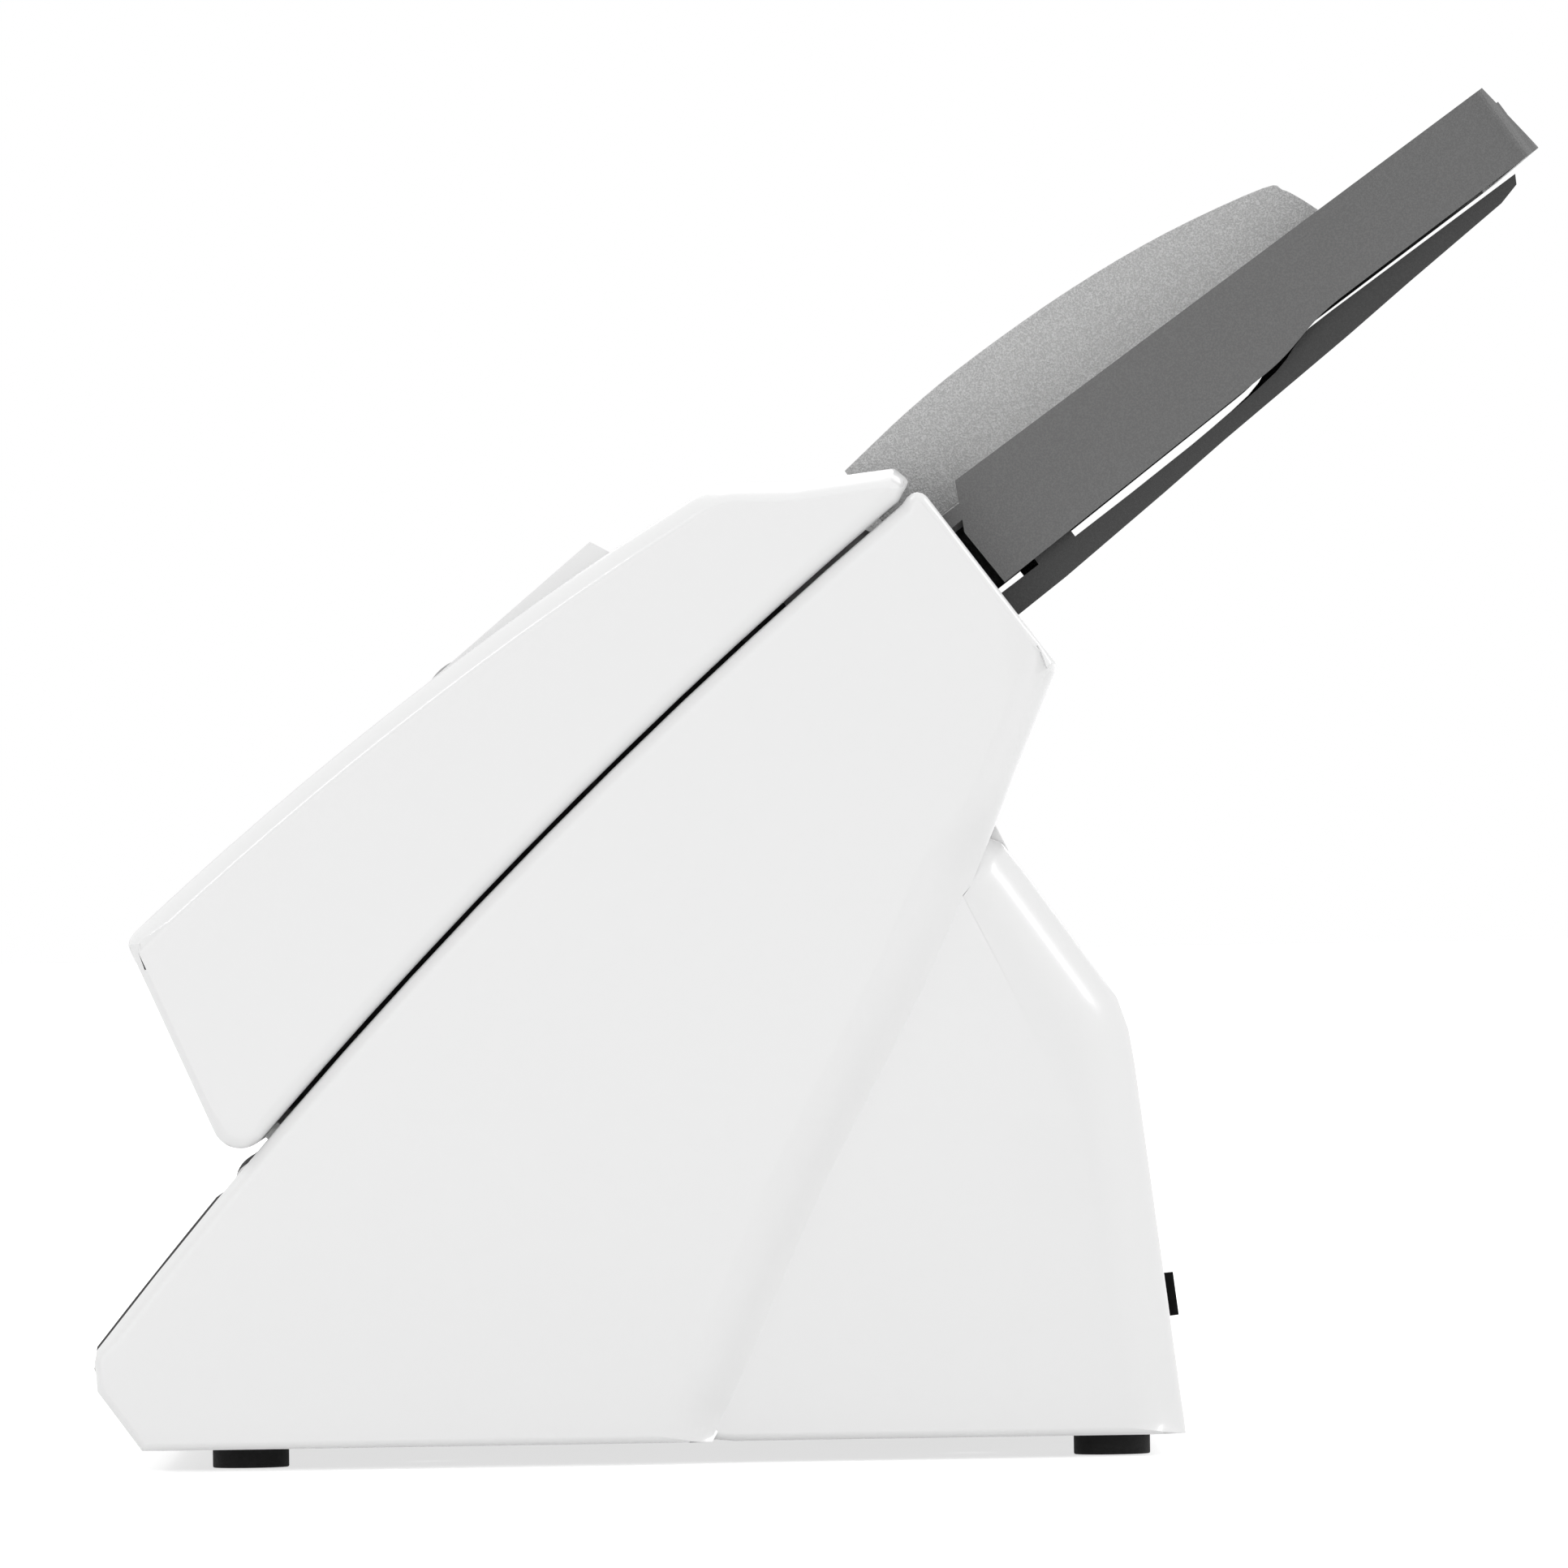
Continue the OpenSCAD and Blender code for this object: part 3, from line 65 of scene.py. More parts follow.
def add_camera():
    """A long lens that looks at the right side cover, rolled as the photograph is."""
    eye = bpy.data.cameras.new("side_view")
    eye.lens = eye.sensor_width * VIEW_DISTANCE / VIEW_WIDTH
    eye.clip_end = VIEW_REACH
    camera = bpy.data.objects.new("side_view", eye)
    bpy.context.scene.collection.objects.link(camera)
    camera.location = VIEW_CENTRE + Vector((VIEW_DISTANCE, 0, 0))
    level = Euler((math.radians(90), 0, math.radians(90))).to_matrix()
    roll = Matrix.Rotation(math.radians(VIEW_ROLL), 3, "Z")
    camera.rotation_euler = (level @ roll).to_euler()
    bpy.context.scene.camera = camera


def add_softbox(name, place, target, size, power):
    """A rectangular area lamp, turned to a target."""
    lamp = bpy.data.lights.new(name, "AREA")
    lamp.shape = "RECTANGLE"
    lamp.size, lamp.size_y = size
    lamp.energy = power
    softbox = bpy.data.objects.new(name, lamp)
    bpy.context.scene.collection.objects.link(softbox)
    softbox.location = place
    aim = Vector(target) - Vector(place)
    softbox.rotation_euler = aim.to_track_quat("-Z", "Y").to_euler()


add_camera()
for lamp_name, settings in LAMPS.items():
    add_softbox(lamp_name, *settings)
bpy.context.scene.view_settings.view_transform = "Standard"


# Finishes: each is one set of nodes, written as sums of masks. The scale of a noise is
# in bumps for each metre.

# A wave texture's scale times the metres between its rings
RIB_SCALE = 0.314


class Wire:
    """One output socket. Sums and products of wires and numbers add Math nodes."""

    def __init__(self, finish, socket):
        self.finish = finish
        self.socket = socket

    def maths(self, operation, first, second):
        return self.finish.node("ShaderNodeMath", {"operation": operation},
                                {0: first, 1: second})

    def __add__(self, other):
        return self.maths("ADD", self, other)

    def __sub__(self, other):
        return self.maths("SUBTRACT", self, other)

    def __rsub__(self, other):
        return self.maths("SUBTRACT", other, self)

    def __mul__(self, other):
        return self.maths("MULTIPLY", self, other)

    def __lt__(self, other):
        return self.maths("LESS_THAN", self, other)

    __radd__ = __add__
    __rmul__ = __mul__


class Finish:
    """A procedural material."""

    def __init__(self, name, **constants):
        self.material = bpy.data.materials.new(name)
        self.material.use_nodes = True
        self.tree = self.material.node_tree
        self.shader = self.tree.nodes["Principled BSDF"]
        for socket, value in constants.items():
            self.shader.inputs[socket.replace("_", " ")].default_value = value
        self.place = self.node("ShaderNodeTexCoord", {}, {}, "Object")

    def node(self, kind, settings, values, out=0):
        """A new node: its settings first, then its sockets' values or wires."""
        made = self.tree.nodes.new(kind)
        for setting, value in settings.items():
            setattr(made, setting, value)
        for socket, value in values.items():
            self.join(value, made.inputs[socket])
        return Wire(self, made.outputs[out])

    def join(self, value, socket):
        if isinstance(value, Wire):
            self.tree.links.new(value.socket, socket)
        else:
            socket.default_value = value

    def noise(self, scale, detail=2, stretch=None):
        place = self.place
        if stretch:
            place = self.node("ShaderNodeVectorMath", {"operation": "MULTIPLY"},
                              {0: place, 1: stretch})
        return self.node("ShaderNodeTexNoise", {},
                         {"Vector": place, "Scale": scale, "Detail": detail})

    def cells(self, scale):
        return self.node("ShaderNodeTexVoronoi", {},
                         {"Vector": self.place, "Scale": scale}, "Distance")

    def within(self, wire, low, high):
        """0 under low, 1 over high, and a smooth rise between."""
        return self.node("ShaderNodeMapRange", {"interpolation_type": "SMOOTHSTEP"},
                         {0: wire, 1: low, 2: high, 3: 0.0, 4: 1.0})

    def blend(self, share, first, second):
        return self.node("ShaderNodeMix", {"data_type": "RGBA"},
                         {0: share, 6: first, 7: second}, 2)

    def set(self, **wires):
        for socket, wire in wires.items():
            self.join(wire, self.shader.inputs[socket.replace("_", " ")])

    def raise_by(self, height, depth, strength=1.0):
        """Bumps the surface by a depth in mm."""
        self.set(Normal=self.node("ShaderNodeBump", {},
                                  {"Height": height, "Distance": depth * MM,
                                   "Strength": strength}))


def grey(level):
    return (level, level, level, 1)


def gloss_plastic(name, light, dark, roughness, coat):
    """Polished moulded plastic: faint clouding, handling marks and a fine orange peel."""
    made = Finish(name, Coat_Weight=coat, Coat_Roughness=0.08, Specular_IOR_Level=0.5)
    cloud = made.noise(scale=7)
    speck = made.within(made.noise(scale=420), low=0.66, high=0.74)
    marks = made.noise(scale=26, detail=4, stretch=(1, 0.45, 1))
    made.set(Base_Color=made.blend(speck * 0.2, made.blend(cloud, light, dark), dark),
             Roughness=roughness + 0.03 * marks + 0.02 * cloud)
    made.raise_by(made.noise(scale=520), depth=0.012, strength=0.6)
    return made.material


def grained_plastic(name, light, dark, grain, depth, roughness, painted_glint_share=0.5):
    """Spark-eroded moulded plastic: bumped grains of a given size in mm, with painted glints on
    their peaks.
    """
    made = Finish(name, Specular_IOR_Level=0.5)
    scale = 1 / (grain * MM)
    coarse = made.noise(scale, detail=3)
    fine = made.noise(scale * 2.3, detail=1)
    # Painted glints: the grain peaks get the light colour, as if they caught the light.
    painted_glints = made.within(coarse + 0.5 * fine, low=0.62, high=0.95)
    cloud = made.noise(scale=11, detail=3)
    # The colour runs from dark to light with the painted glints and with random clouding of the
    # tone.
    made.set(Base_Color=made.blend(painted_glints * painted_glint_share + 0.25 * cloud, dark, light),
             Roughness=roughness + 0.18 * (coarse - 0.5) + 0.05 * cloud)
    made.raise_by(coarse + 0.4 * fine, depth)
    return made.material


def worked_metal(name, light, dark, roughness, stretch):
    """Metal with drawn or turned marks along one way, and faint spots."""
    made = Finish(name, Metallic=1.0)
    drawn = made.noise(scale=900, detail=3, stretch=stretch)
    spots = made.within(made.noise(scale=60, detail=4), low=0.5, high=0.72)
    made.set(Base_Color=made.blend(drawn * 0.6 + 0.4 * spots, light, dark),
             Roughness=roughness + 0.14 * drawn + 0.1 * spots)
    made.raise_by(drawn, depth=0.01, strength=0.5)
    return made.material


def soft_rubber(name, light, dark, rib=0.0):
    """Matt rubber with a chalky bloom; a rib's spacing in mm rings it along X."""
    made = Finish(name, Specular_IOR_Level=0.35)
    bloom = made.within(made.noise(scale=45, detail=4), low=0.42, high=0.7)
    pores = made.noise(scale=1500)
    made.set(Base_Color=made.blend(bloom, dark, light), Roughness=0.72 + 0.16 * pores)
    height = pores
    if rib:
        rings = made.node("ShaderNodeTexWave", {"bands_direction": "X"},
                          {"Vector": made.place, "Scale": RIB_SCALE / (rib * MM),
                           "Distortion": 0.0})
        height = rings + 0.2 * pores
    made.raise_by(height, depth=0.12, strength=0.6)
    return made.material


def circuit_board(name):
    """Green lacquer over copper runs, with tinned pads."""
    made = Finish(name, Coat_Weight=0.4, Coat_Roughness=0.15)
    runs = made.node("ShaderNodeTexBrick", {"offset": 0.37, "squash": 1.6, "squash_frequency": 3},
                     {"Vector": made.place, "Scale": 95.0, "Mortar Size": 0.035,
                      "Brick Width": 1.3, "Row Height": 0.3,
                      "Color1": grey(0), "Color2": grey(0), "Mortar": grey(1)}, "Fac")
    pads = made.cells(scale=240) < 0.2
    lacquer = made.blend(runs, (0.008, 0.060, 0.028, 1), (0.020, 0.125, 0.050, 1))
    made.set(Base_Color=made.blend(pads, lacquer, grey(0.55)), Metallic=pads,
             Roughness=0.32 + 0.12 * made.noise(scale=300))
    made.raise_by(runs + pads, depth=0.06, strength=0.6)
    return made.material


def clear_glass(name):
    """Thin float glass over a dark well, with a smear of dust."""
    made = Finish(name, IOR=1.5, Transmission_Weight=0.85)
    dust = made.within(made.noise(scale=30, detail=5, stretch=(0.4, 1, 1)), low=0.5, high=0.8)
    made.set(Base_Color=made.blend(dust, (0.80, 0.90, 0.88, 1), grey(0.95)),
             Roughness=0.03 + 0.12 * dust)
    return made.material


WHITE = gloss_plastic("white_gloss_shell", grey(0.80), grey(0.78), roughness=0.26, coat=0.3)
CREAM = gloss_plastic("white_button_plastic", grey(0.78), grey(0.70), roughness=0.28, coat=0.2)
BLACK = gloss_plastic("black_gloss_plastic", grey(0.030), grey(0.018), roughness=0.20, coat=0.3)
# Each grained finish below has painted glints on its grain peaks, at its given or the default
# share.
RAIL = grained_plastic("mid_grey_tray_plastic", grey(0.165), grey(0.090),
                       grain=0.30, depth=0.05, roughness=0.40, painted_glint_share=0.4)
DARK = grained_plastic("near_black_tray_plastic", grey(0.034), grey(0.012),
                       grain=0.42, depth=0.05, roughness=0.46)
FIN = grained_plastic("light_grey_guide_plastic", grey(0.74), grey(0.40),
                      grain=0.30, depth=0.2, roughness=0.34, painted_glint_share=0.6)
CHASSIS = grained_plastic("black_chassis_plastic", grey(0.035), grey(0.018),
                          grain=0.35, depth=0.04, roughness=0.52)
APRON = grained_plastic("dark_apron_plastic", grey(0.060), grey(0.035),
                        grain=0.35, depth=0.03, roughness=0.44)
GEAR = grained_plastic("ivory_pulley_plastic", grey(0.62), grey(0.52),
                       grain=0.8, depth=0.01, roughness=0.38, painted_glint_share=0.3)
SHEET_STEEL = worked_metal("zinc_sheet_steel", grey(0.60), grey(0.44),
                           roughness=0.30, stretch=(1, 0.08, 1))
SHAFT_STEEL = worked_metal("ground_shaft_steel", grey(0.66), grey(0.50),
                           roughness=0.18, stretch=(3, 0.3, 0.3))
BRONZE = worked_metal("sintered_bronze", (0.52, 0.34, 0.16, 1), (0.30, 0.18, 0.08, 1),
                      roughness=0.34, stretch=(1, 1, 1))
ROLLER = soft_rubber("grey_roller_rubber", grey(0.16), grey(0.11), rib=1.6)
FOOT = soft_rubber("black_foot_rubber", grey(0.030), grey(0.016))
BELT = soft_rubber("black_belt_rubber", grey(0.035), grey(0.020))
BOARD = circuit_board("green_circuit_board")
GLASS = clear_glass("scan_window_glass")


# The floor and the room. The rays named here see both near full white.

SEEN_RAYS = ("Is Camera Ray", "Is Glossy Ray", "Is Transmission Ray")
FLOOR_REACH = 12
FLOOR_GLOW = 0.7
ROOM_LIGHT = 0.86
ROOM_SEEN = 1.0


def add_floor():
    """A pale floor that keeps the shadow, and shows near white to the camera."""
    made = Finish("pale_floor", Roughness=0.85, Specular_IOR_Level=0.15)
    fleck = made.noise(scale=26, detail=3)
    made.set(Base_Color=made.blend(fleck, grey(0.80), grey(0.77)))
    path = made.tree.nodes.new("ShaderNodeLightPath")
    seen = sum(Wire(made, path.outputs[ray]) for ray in SEEN_RAYS)
    glow = made.node("ShaderNodeEmission", {},
                     {"Color": grey(1.0), "Strength": seen * FLOOR_GLOW})
    total = made.node("ShaderNodeAddShader", {},
                      {0: Wire(made, made.shader.outputs[0]), 1: glow})
    made.join(total, made.tree.nodes["Material Output"].inputs["Surface"])
    mesh = bpy.data.meshes.new("pale_floor")
    corners = [(-1, -1), (1, -1), (1, 1), (-1, 1)]
    mesh.from_pydata([(x * FLOOR_REACH, y * FLOOR_REACH, 0) for x, y in corners],
                     [], [(0, 1, 2, 3)])
    mesh.materials.append(made.material)
    floor = bpy.data.objects.new("pale_floor", mesh)
    bpy.context.scene.collection.objects.link(floor)


def add_world():
    """An even white room, softer on the object than to the camera."""
    world = bpy.data.worlds.new("white_room")
    world.use_nodes = True
    bpy.context.scene.world = world
    tree = world.node_tree
    path = tree.nodes.new("ShaderNodeLightPath")
    seen = path.outputs[SEEN_RAYS[0]]
    for ray in SEEN_RAYS[1:]:
        total = tree.nodes.new("ShaderNodeMath")
        tree.links.new(seen, total.inputs[0])
        tree.links.new(path.outputs[ray], total.inputs[1])
        seen = total.outputs[0]
    strength = tree.nodes.new("ShaderNodeMapRange")
    strength.inputs["To Min"].default_value = ROOM_LIGHT
    strength.inputs["To Max"].default_value = ROOM_SEEN
    tree.links.new(seen, strength.inputs["Value"])
    room = tree.nodes["Background"]
    room.inputs["Color"].default_value = grey(1.0)
    tree.links.new(strength.outputs[0], room.inputs["Strength"])


add_floor()
add_world()


# Working on the CAD nodes and on copies of them. Lengths are in mm.

# Points nearer than this are one, and faces that differ by less than this are flat
SAME_POINT = 0.002
SAME_PLANE = math.radians(0.6)
# Edges that turn more than this are rounded, or drawn sharp on a made mesh
ROUNDED_TURN = math.radians(32)
SHARP_TURN = math.radians(40)
ROUND_SEGMENTS = 2
# A made face with more corners is cut into triangles
MOST_CORNERS = 8


def cover_with(node, material):
    """Gives a CAD node one finish."""
    mesh = NODES[node].data
    mesh.materials.clear()
    mesh.materials.append(material)


def add_shading(piece):
    shade = piece.modifiers.new("shade", "WEIGHTED_NORMAL")
    shade.keep_sharp = True


def ease(node, material, width):
    """A CAD node whose shape is right: its faces joined, its edges rounded, its finish."""
    cover_with(node, material)
    piece = NODES[node]
    weld = piece.modifiers.new("joined_points", "WELD")
    weld.merge_threshold = SAME_POINT * MM
    flat = piece.modifiers.new("joined_faces", "DECIMATE")
    flat.decimate_type = "DISSOLVE"
    flat.angle_limit = SAME_PLANE
    if width:
        round_over = piece.modifiers.new("round_over", "BEVEL")
        round_over.width = width * MM
        round_over.segments = ROUND_SEGMENTS
        round_over.limit_method = "ANGLE"
        round_over.angle_limit = ROUNDED_TURN
    add_shading(piece)


def as_piece(name, mesh, body, material, slot, *nodes):
    """A made mesh as a piece that rides on a body and stands for CAD nodes."""
    for face in mesh.polygons:
        face.use_smooth = True
    mesh.materials.clear()
    mesh.materials.append(material)
    piece = bpy.data.objects.new(name, mesh)
    bpy.context.scene.collection.objects.link(piece)
    add_shading(piece)
    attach(piece, body)
    if nodes:
        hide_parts(*nodes)
    return piece


def flat_copy(node):
    """A copy of a CAD node's mesh, welded, with its flat faces joined."""
    made = bmesh.new()
    made.from_mesh(NODES[node].data)
    bmesh.ops.remove_doubles(made, verts=made.verts, dist=SAME_POINT * MM)
    bmesh.ops.dissolve_limit(made, angle_limit=SAME_PLANE, verts=made.verts, edges=made.edges)
    return made


def as_mesh(made, name):
    """Ends the work on a bmesh: its large faces cut up and its sharp edges marked."""
    mesh = bpy.data.meshes.new(name)
    large = [face for face in made.faces if len(face.verts) > MOST_CORNERS]
    bmesh.ops.triangulate(made, faces=large)
    bmesh.ops.recalc_face_normals(made, faces=made.faces)
    for edge in made.edges:
        edge.smooth = edge.calc_face_angle(0) < SHARP_TURN
    made.to_mesh(mesh)
    made.free()
    return mesh


# Outlines, in mm along Y and Z, anticlockwise

IN_PLANE = 0.02
# A corner arc is a run of edges shorter than this, and no longer than so many of them
ARC_EDGE = 1.3
ARC_SEARCH = 40
# The least angle of an arc, and the cosine over which two edges are as good as straight
ARC_ANGLE = 0.05
NEAR_STRAIGHT = 0.8
# The sine under which two edges are as good as parallel
PARALLEL = 0.05
# The share of its radius by which an arc can be set in before it becomes a corner
ARC_LEFT = 0.8
# How many points on each side of a corner are looked at for having been passed by it
PASSED = 14
AHEAD = 1e-6


def faces_at(made, x):
    """A mesh's faces in the plane at x."""
    return [face for face in made.faces
            if all(abs(v.co.x / MM - x) < IN_PLANE for v in face.verts)]


def first_found(points):
    return next(iter(points))


def lowest_index(points):
    return min(points, key=lambda v: v.index)


def rim(faces, pick=first_found):
    """The points around a patch of faces, in turn, from the one that pick takes."""
    patch = set(faces)
    follows = {loop.vert: loop.link_loop_next.vert for face in faces for loop in face.loops
               if not any(other in patch for other in loop.edge.link_faces if other is not face)}
    chain = [pick(follows)]
    while follows[chain[-1]] != chain[0]:
        chain.append(follows[chain[-1]])
    if loop_area([(v.co.y, v.co.z) for v in chain]) < 0:
        chain.reverse()
    return chain


def face_loop(node, x):
    """The outline of a node's faces in the plane at x."""
    made = flat_copy(node)
    chain = rim(faces_at(made, x), lowest_index)
    outline = [(v.co.y / MM, v.co.z / MM) for v in chain]
    made.free()
    return outline


def edges_of(outline):
    return zip(outline, outline[1:] + outline[:1])


def loop_area(outline):
    return sum(a[0] * b[1] - b[0] * a[1] for a, b in edges_of(outline)) / 2


def divided(outline, step):
    """The outline with points added, so that no edge is longer than step."""
    made = []
    for a, b in edges_of(outline):
        count = max(1, math.ceil(math.dist(a, b) / step))
        made += [(a[0] + (b[0] - a[0]) * i / count, a[1] + (b[1] - a[1]) * i / count)
                 for i in range(count)]
    return made


def distance_to(point, outline):
    """How far a point is from the nearest edge of an outline."""
    spot, least = Vector(point), math.inf
    for a, b in edges_of(outline):
        start, run = Vector(a), Vector(b) - Vector(a)
        share = min(max((spot - start).dot(run) / run.length_squared, 0), 1)
        least = min(least, (start + run * share - spot).length)
    return least


def inward(a, b):
    """The way in from the edge from a to b."""
    length = math.dist(a, b)
    return Vector((-(b[1] - a[1]) / length, (b[0] - a[0]) / length))


def cross(n1, n2):
    return n1.x * n2.y - n1.y * n2.x


def mitre(n1, d1, n2, d2):
    """The move of a corner that sets its two edges in by d1 and d2."""
    turn = cross(n1, n2)
    if n1.dot(n2) > NEAR_STRAIGHT or abs(turn) < PARALLEL:
        return (n1 + n2) / (1 + n1.dot(n2)) * ((d1 + d2) / 2)
    return Vector(((d1 * n2.y - d2 * n1.y) / turn, (n1.x * d2 - n2.x * d1) / turn))


class Outline:
    """An outline whose edges can be set in by different widths, small corner arcs too."""

    def __init__(self, points):
        self.points = points
        self.count = len(points)
        ends = list(edges_of(points))
        self.normals = [inward(a, b) for a, b in ends]
        self.lengths = [math.dist(a, b) for a, b in ends]
        self.runs = [self.find_run(i) for i in range(self.count)]

    def point(self, i):
        return Vector(self.points[i % self.count])

    def find_run(self, i):
        """The first and last point of the corner arc that holds point i, or None."""
        first, last = i, i
        while self.lengths[(first - 1) % self.count] < ARC_EDGE and i - first < ARC_SEARCH:
            first -= 1
        while self.lengths[last % self.count] < ARC_EDGE and last - i < ARC_SEARCH:
            last += 1
        return (first, last) if last > first else None

    def moved(self, i, widths):
        """Point i, with each edge j set in by widths[j]."""
        before, after = (i - 1) % self.count, i % self.count
        run = self.runs[i]
        if not run:
            return self.point(i) + mitre(self.normals[before], widths[before],
                                         self.normals[after], widths[after])
        first, last = run
        n1, n2 = self.normals[(first - 1) % self.count], self.normals[last % self.count]
        d1, d2 = widths[(first - 1) % self.count], widths[last % self.count]
        length = sum(self.lengths[j % self.count] for j in range(first, last))
        radius = length / max(n1.angle(n2), ARC_ANGLE)
        mean = (d1 + d2) / 2
        bulges = cross(n1, n2) > 0
        if bulges and mean > ARC_LEFT * radius:
            start, stop = self.point(first), self.point(last)
            return start + mitre(n1, d1, n2, d2 + n2.dot(stop - start))
        return self.point(i) + mitre(self.normals[before], mean, self.normals[after], mean)

    def set_in(self, widths):
        """All points, with those that a sharp corner has passed put at the corner."""
        spots = [self.moved(i, widths) for i in range(self.count)]
        for i in range(self.count):
            if self.normals[i - 1].dot(self.normals[i]) > NEAR_STRAIGHT and not self.runs[i]:
                continue
            for way in (-1, 1):
                for j in range(i + way, i + way * PASSED, way):
                    ahead = self.point(j) - self.point(j - way)
                    if (spots[j % self.count] - spots[i]).dot(ahead) > AHEAD:
                        break
                    spots[j % self.count] = spots[i]
        return spots


# Lofts from an outline: rings of points, each a list of widths and one of places along X

def add_ring(made, outline, widths, places):
    return [made.verts.new((x * MM, spot.x * MM, spot.y * MM))
            for x, spot in zip(places, outline.set_in(widths))]


def bridge(made, low, high):
    """Faces from one ring of points to the next."""
    for i in range(len(low)):
        j = (i + 1) % len(low)
        made.faces.new((low[i], low[j], high[j], high[i]))


def skin(made, outline, rings):
    """Joins the rings and closes both ends."""
    rows = [add_ring(made, outline, widths, places) for widths, places in rings]
    for low, high in zip(rows, rows[1:]):
        bridge(made, low, high)
    made.faces.new(rows[-1])
    made.faces.new(rows[0][::-1])


# How an edge is finished: pairs of a set-in along the face and a drop from it, from the
# side up to the face

ROUND_STEPS = 8
# The soft step from a wing down to its leg
STEP = [(0, 6.4), (0.9, 5.9), (1.9, 5.15), (2.9, 4.2), (4.1, 3.05),
        (5.3, 1.95), (6.7, 0.95), (8.2, 0.25), (9.8, 0)]
# The crown of the door's front towards its ends
CROWN = [(0, 11), (0.4, 8), (0.9, 5.4), (1.5, 3.2), (2.0, 1.75),
         (2.45, 0.85), (2.85, 0.35), (3.2, 0.1), (3.55, 0)]


def quarter(radius):
    """A plain round-over."""
    turns = [math.radians(90) * k / ROUND_STEPS for k in range(ROUND_STEPS + 1)]
    return [(radius * (1 - math.cos(turn)), radius * (1 - math.sin(turn))) for turn in turns]


SPLIT_ROUND = quarter(2.6)
REAR_ROUND = quarter(6.0)
LEG_ROUND = quarter(11.0)
EDGE_ROUND = quarter(1.4)


def mixed(first, second, share):
    return [tuple(a + (b - a) * share for a, b in zip(p, q)) for p, q in zip(first, second)]


def ramp(value, low, high):
    """0 under low, 1 over high, and a smooth rise between."""
    share = min(max((value - low) / (high - low), 0), 1)
    return share * share * (3 - 2 * share)


def edge_rings(outline, face, side, profiles):
    """Rings from the side up to the face at x, each edge with its own profile."""
    rings = []
    for k in range(ROUND_STEPS + 1):
        widths = [profile[k][0] for profile in profiles]
        drops = [(profiles[i - 1][k][1] + profiles[i][k][1]) / 2 for i in range(outline.count)]
        rings.append((widths, [side * (face - drop) for drop in drops]))
    return rings


# The two side covers: a wing with a soft step over a recessed leg

COVER_WALL = 2.4
COVER_BACK = 132.0
WING_FACE = 150.0
LEG_FACE = 144.0
# The depths under the face of a shell's hollow and of the straight part of its rim
WELL_DEPTH = 3 * COVER_WALL
RIM_DEPTH = 7
OUTLINE_STEP = 4
COVER_WELD = 0.01
# An edge faces a way when its normal has more than this of it
FACES = 0.3
FACES_MOST = 0.5
# The wing's step ends at this Y, and becomes the rear edge's rounding between these heights
STEP_FRONT = -21
STEP_TOP = 96
REAR_FOOT = 114
# The leg's rear edge lies past this Y
LEG_REAR = 25
# The leg's points above this height, or nearer to the wing's outline than this, are
# tucked in behind the wing
LEG_TOP = 109
ON_WING = 0.4
TUCK = Vector((-12, 1.5))


def wing_profile(outline, i):
    """The finish of edge i of the wing's face."""
    inner = outline.normals[i]
    y, z = outline.points[i]
    if inner.y < -FACES_MOST and inner.x > FACES:
        return SPLIT_ROUND
    if inner.x > -FACES or inner.y < -FACES or y < STEP_FRONT:
        return EDGE_ROUND
    return mixed(STEP, REAR_ROUND, ramp(z, STEP_TOP, REAR_FOOT))


def leg_profile(outline, i):
    """The finish of edge i of the leg's face."""
    at_rear = outline.normals[i].x < -FACES and outline.points[i][0] > LEG_REAR
    return LEG_ROUND if at_rear else EDGE_ROUND


def hollow_shell(made, outline, face, profile):
    """A moulded shell, open at its back, whose face has the given edges."""
    even, wall = [0.0] * outline.count, [COVER_WALL] * outline.count
    back, well = [COVER_BACK] * outline.count, [face - WELL_DEPTH] * outline.count
    rings = edge_rings(outline, face, 1, [profile(outline, i) for i in range(outline.count)])
    widths, places = rings[0]
    foot = [min(x, face - RIM_DEPTH) for x in places]
    skin(made, outline, [(wall, well), (wall, back), (even, back), (widths, foot)] + rings)


def side_cover(node, name):
    """The right cover is lofted; the left one is its mirror image."""
    wing = divided(face_loop("side_cover_right", WING_FACE), OUTLINE_STEP)
    leg = divided(face_loop("side_cover_right", LEG_FACE), OUTLINE_STEP)
    tucked = [(y + TUCK.x, z + TUCK.y) if z > LEG_TOP or distance_to((y, z), wing) < ON_WING
              else (y, z) for y, z in leg]
    made = bmesh.new()
    hollow_shell(made, Outline(wing), WING_FACE, wing_profile)
    hollow_shell(made, Outline(tucked), LEG_FACE, leg_profile)
    bmesh.ops.remove_doubles(made, verts=made.verts, dist=COVER_WELD * MM)
    if node == "side_cover_left":
        bmesh.ops.scale(made, vec=(-1, 1, 1), verts=made.verts)
    return as_piece(name, as_mesh(made, name), "base", WHITE, "white_shell", node)


side_cover("side_cover_right", "right_wing_cover")
side_cover("side_cover_left", "left_wing_cover")


# The door's shell: its front is crowned towards both ends, and its split edge is rolled

DOOR_END = 149.7
DOOR_WELD = 0.005
# The end face's edges that are longer than this get so many cuts
LONG_EDGE = 8
EDGE_CUTS = 7


def door_profile(outline, i):
    """The finish of edge i of the door's end."""
    inner = outline.normals[i]
    if inner.y < -FACES:
        return CROWN
    return SPLIT_ROUND if inner.x < -FACES else EDGE_ROUND


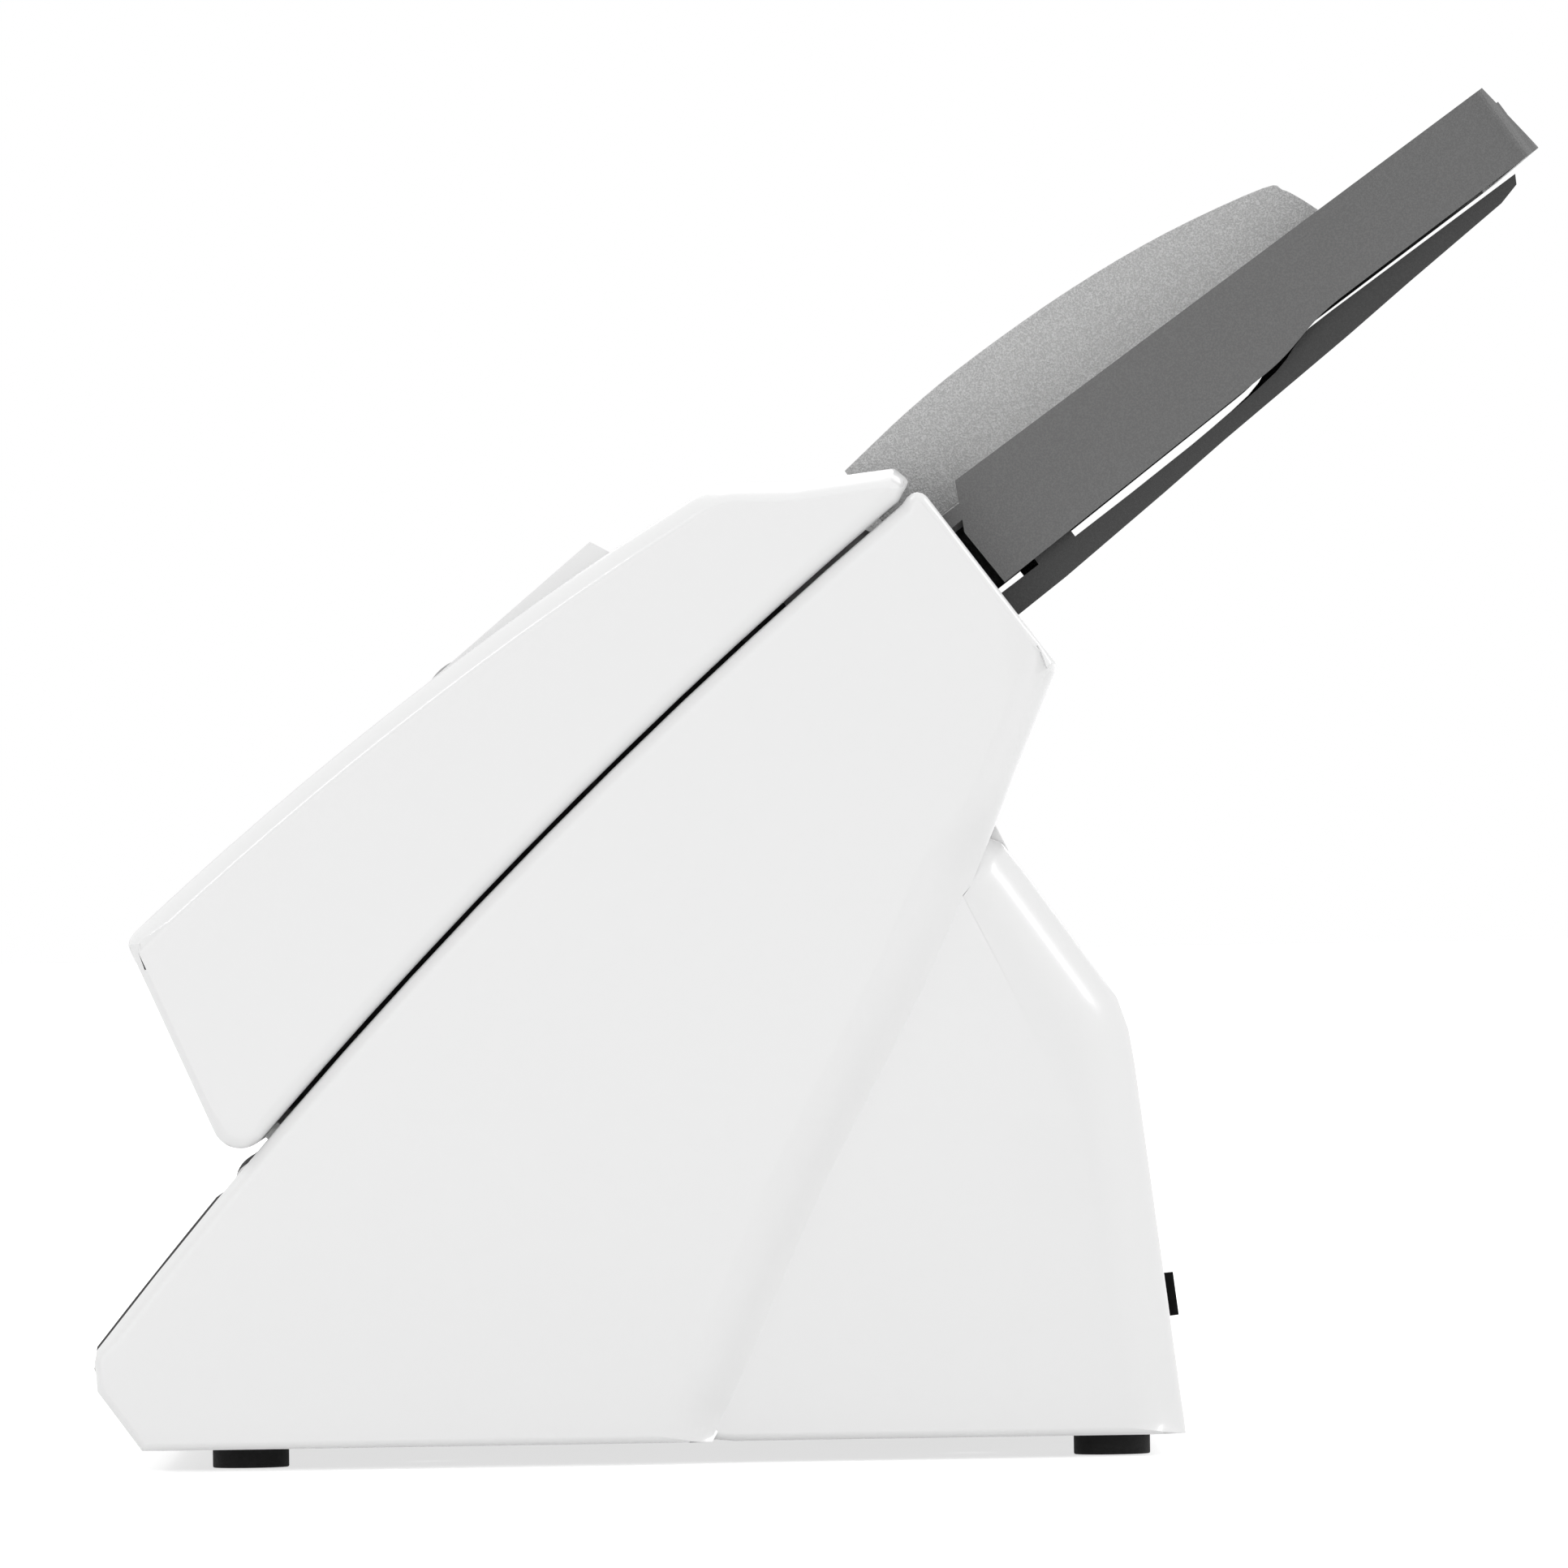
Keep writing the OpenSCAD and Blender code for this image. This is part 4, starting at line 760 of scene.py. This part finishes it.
def shape_end(made, side):
    """Takes the flat end off a copy of the door's shell and lofts the finished one there."""
    long_edges = {edge: None for face in faces_at(made, side * DOOR_END) for edge in face.edges
                  if edge.calc_length() > LONG_EDGE * MM}
    bmesh.ops.subdivide_edges(made, edges=list(long_edges), cuts=EDGE_CUTS)
    flat = faces_at(made, side * DOOR_END)
    low = rim(flat)
    bmesh.ops.delete(made, geom=flat, context="FACES_ONLY")
    outline = Outline([(v.co.y / MM, v.co.z / MM) for v in low])
    profiles = [door_profile(outline, i) for i in range(outline.count)]
    rings = edge_rings(outline, DOOR_END, side, profiles)
    for v, x in zip(low, rings[0][1]):
        v.co.x = x * MM
    for widths, places in rings[1:]:
        high = add_ring(made, outline, widths, places)
        bridge(made, low, high)
        low = high
    made.faces.new(low)


def door_shell():
    made = flat_copy("door_cover")
    for side in (1, -1):
        shape_end(made, side)
    bmesh.ops.remove_doubles(made, verts=made.verts, dist=DOOR_WELD * MM)
    return as_piece("door_shell", as_mesh(made, "door_shell"), "door", WHITE, "white_shell",
                    "door_cover")


door_shell()


# The small white dash on the rocker's side

MARK_SIZE = Vector((0.12, 1.5, 0.32)) * MM
MARK_EDGE = 0.04 * MM


def rocker_mark():
    low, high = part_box("power_rocker")
    middle = (low + high) / 2
    made = bmesh.new()
    bmesh.ops.create_cube(made, size=1.0)
    for v in made.verts:
        v.co = Vector((high.x, middle.y, middle.z)) + MARK_SIZE * v.co
    bmesh.ops.bevel(made, geom=made.edges, offset=MARK_EDGE, segments=2, affect="EDGES")
    return as_piece("rocker_on_mark", as_mesh(made, "rocker_on_mark"), "power_rocker", CREAM,
                    "white_shell")


rocker_mark()


# The CAD nodes that keep their shape: finish, and width of the rounding in mm

EASED = {
    "base_pan": (CHASSIS, 0.5),
    "rear_cover": (WHITE, 0.6),
    "front_apron": (APRON, 0.5),
    "chassis_deck": (CHASSIS, 0.4),
    "frame_plate_left": (SHEET_STEEL, 0.2),
    "frame_plate_right": (SHEET_STEEL, 0.2),
    "bearing_bushes": (BRONZE, 0.15),
    "lower_paper_guide": (CHASSIS, 0.3),
    "lower_scan_glass": (GLASS, 0.2),
    "lower_image_sensor": (CHASSIS, 0.4),
    "feed_motor": (SHEET_STEEL, 0.5),
    "main_board": (BOARD, 0.1),
    "dc_inlet": (BLACK, 0.25),
    "usb_socket": (SHEET_STEEL, 0.15),
    "power_switch_housing": (BLACK, 0.4),
    "rubber_feet": (FOOT, 0.5),
    "case_screws": (SHEET_STEEL, 0.15),
    "door_hinge_pins": (SHAFT_STEEL, 0.2),
    "drive_belt": (BELT, 0.0),
    "exit_belt": (BELT, 0.0),
    "feed_tray": (RAIL, 0.5),
    "door_paper_guide": (CHASSIS, 0.3),
    "door_scan_glass": (GLASS, 0.2),
    "door_image_sensor": (CHASSIS, 0.4),
    "control_panel": (WHITE, 0.5),
    "panel_board": (BOARD, 0.1),
    "pick_shaft": (SHAFT_STEEL, 0.2),
    "pick_roller": (ROLLER, 0.3),
    "pick_pulley": (GEAR, 0.15),
    "drive_shaft_upper": (SHAFT_STEEL, 0.2),
    "drive_roller_upper": (ROLLER, 0.3),
    "drive_pulley_upper": (GEAR, 0.15),
    "drive_shaft_lower": (SHAFT_STEEL, 0.2),
    "drive_roller_lower": (ROLLER, 0.3),
    "drive_pulley_lower": (GEAR, 0.15),
    "exit_drive_pulley": (GEAR, 0.15),
    "exit_shaft": (SHAFT_STEEL, 0.2),
    "exit_roller": (ROLLER, 0.3),
    "exit_pulley": (GEAR, 0.15),
    "motor_shaft": (SHAFT_STEEL, 0.15),
    "motor_pulley": (GEAR, 0.15),
    "separation_roller": (ROLLER, 0.3),
    "idler_roller_upper": (ROLLER, 0.2),
    "idler_roller_lower": (ROLLER, 0.2),
    "latch_bar": (CHASSIS, 0.3),
    "release_button": (CREAM, 0.4),
    "start_button": (BLACK, 0.2),
    "menu_button": (CREAM, 0.15),
    "stop_button": (BLACK, 0.15),
    "power_rocker": (BLACK, 0.5),
    "side_guide_left": (FIN, 0.6),
    "side_guide_right": (FIN, 0.6),
    "guide_pinion": (GEAR, 0.15),
    "tray_extension": (DARK, 0.5),
    "exit_tray": (DARK, 0.6),
    "exit_tray_extension": (DARK, 0.6),
    "paper_sensor_flag": (CHASSIS, 0.2),
}

for node_name, (finish, width) in EASED.items():
    ease(node_name, finish, width)


bpy.context.view_layer.update()
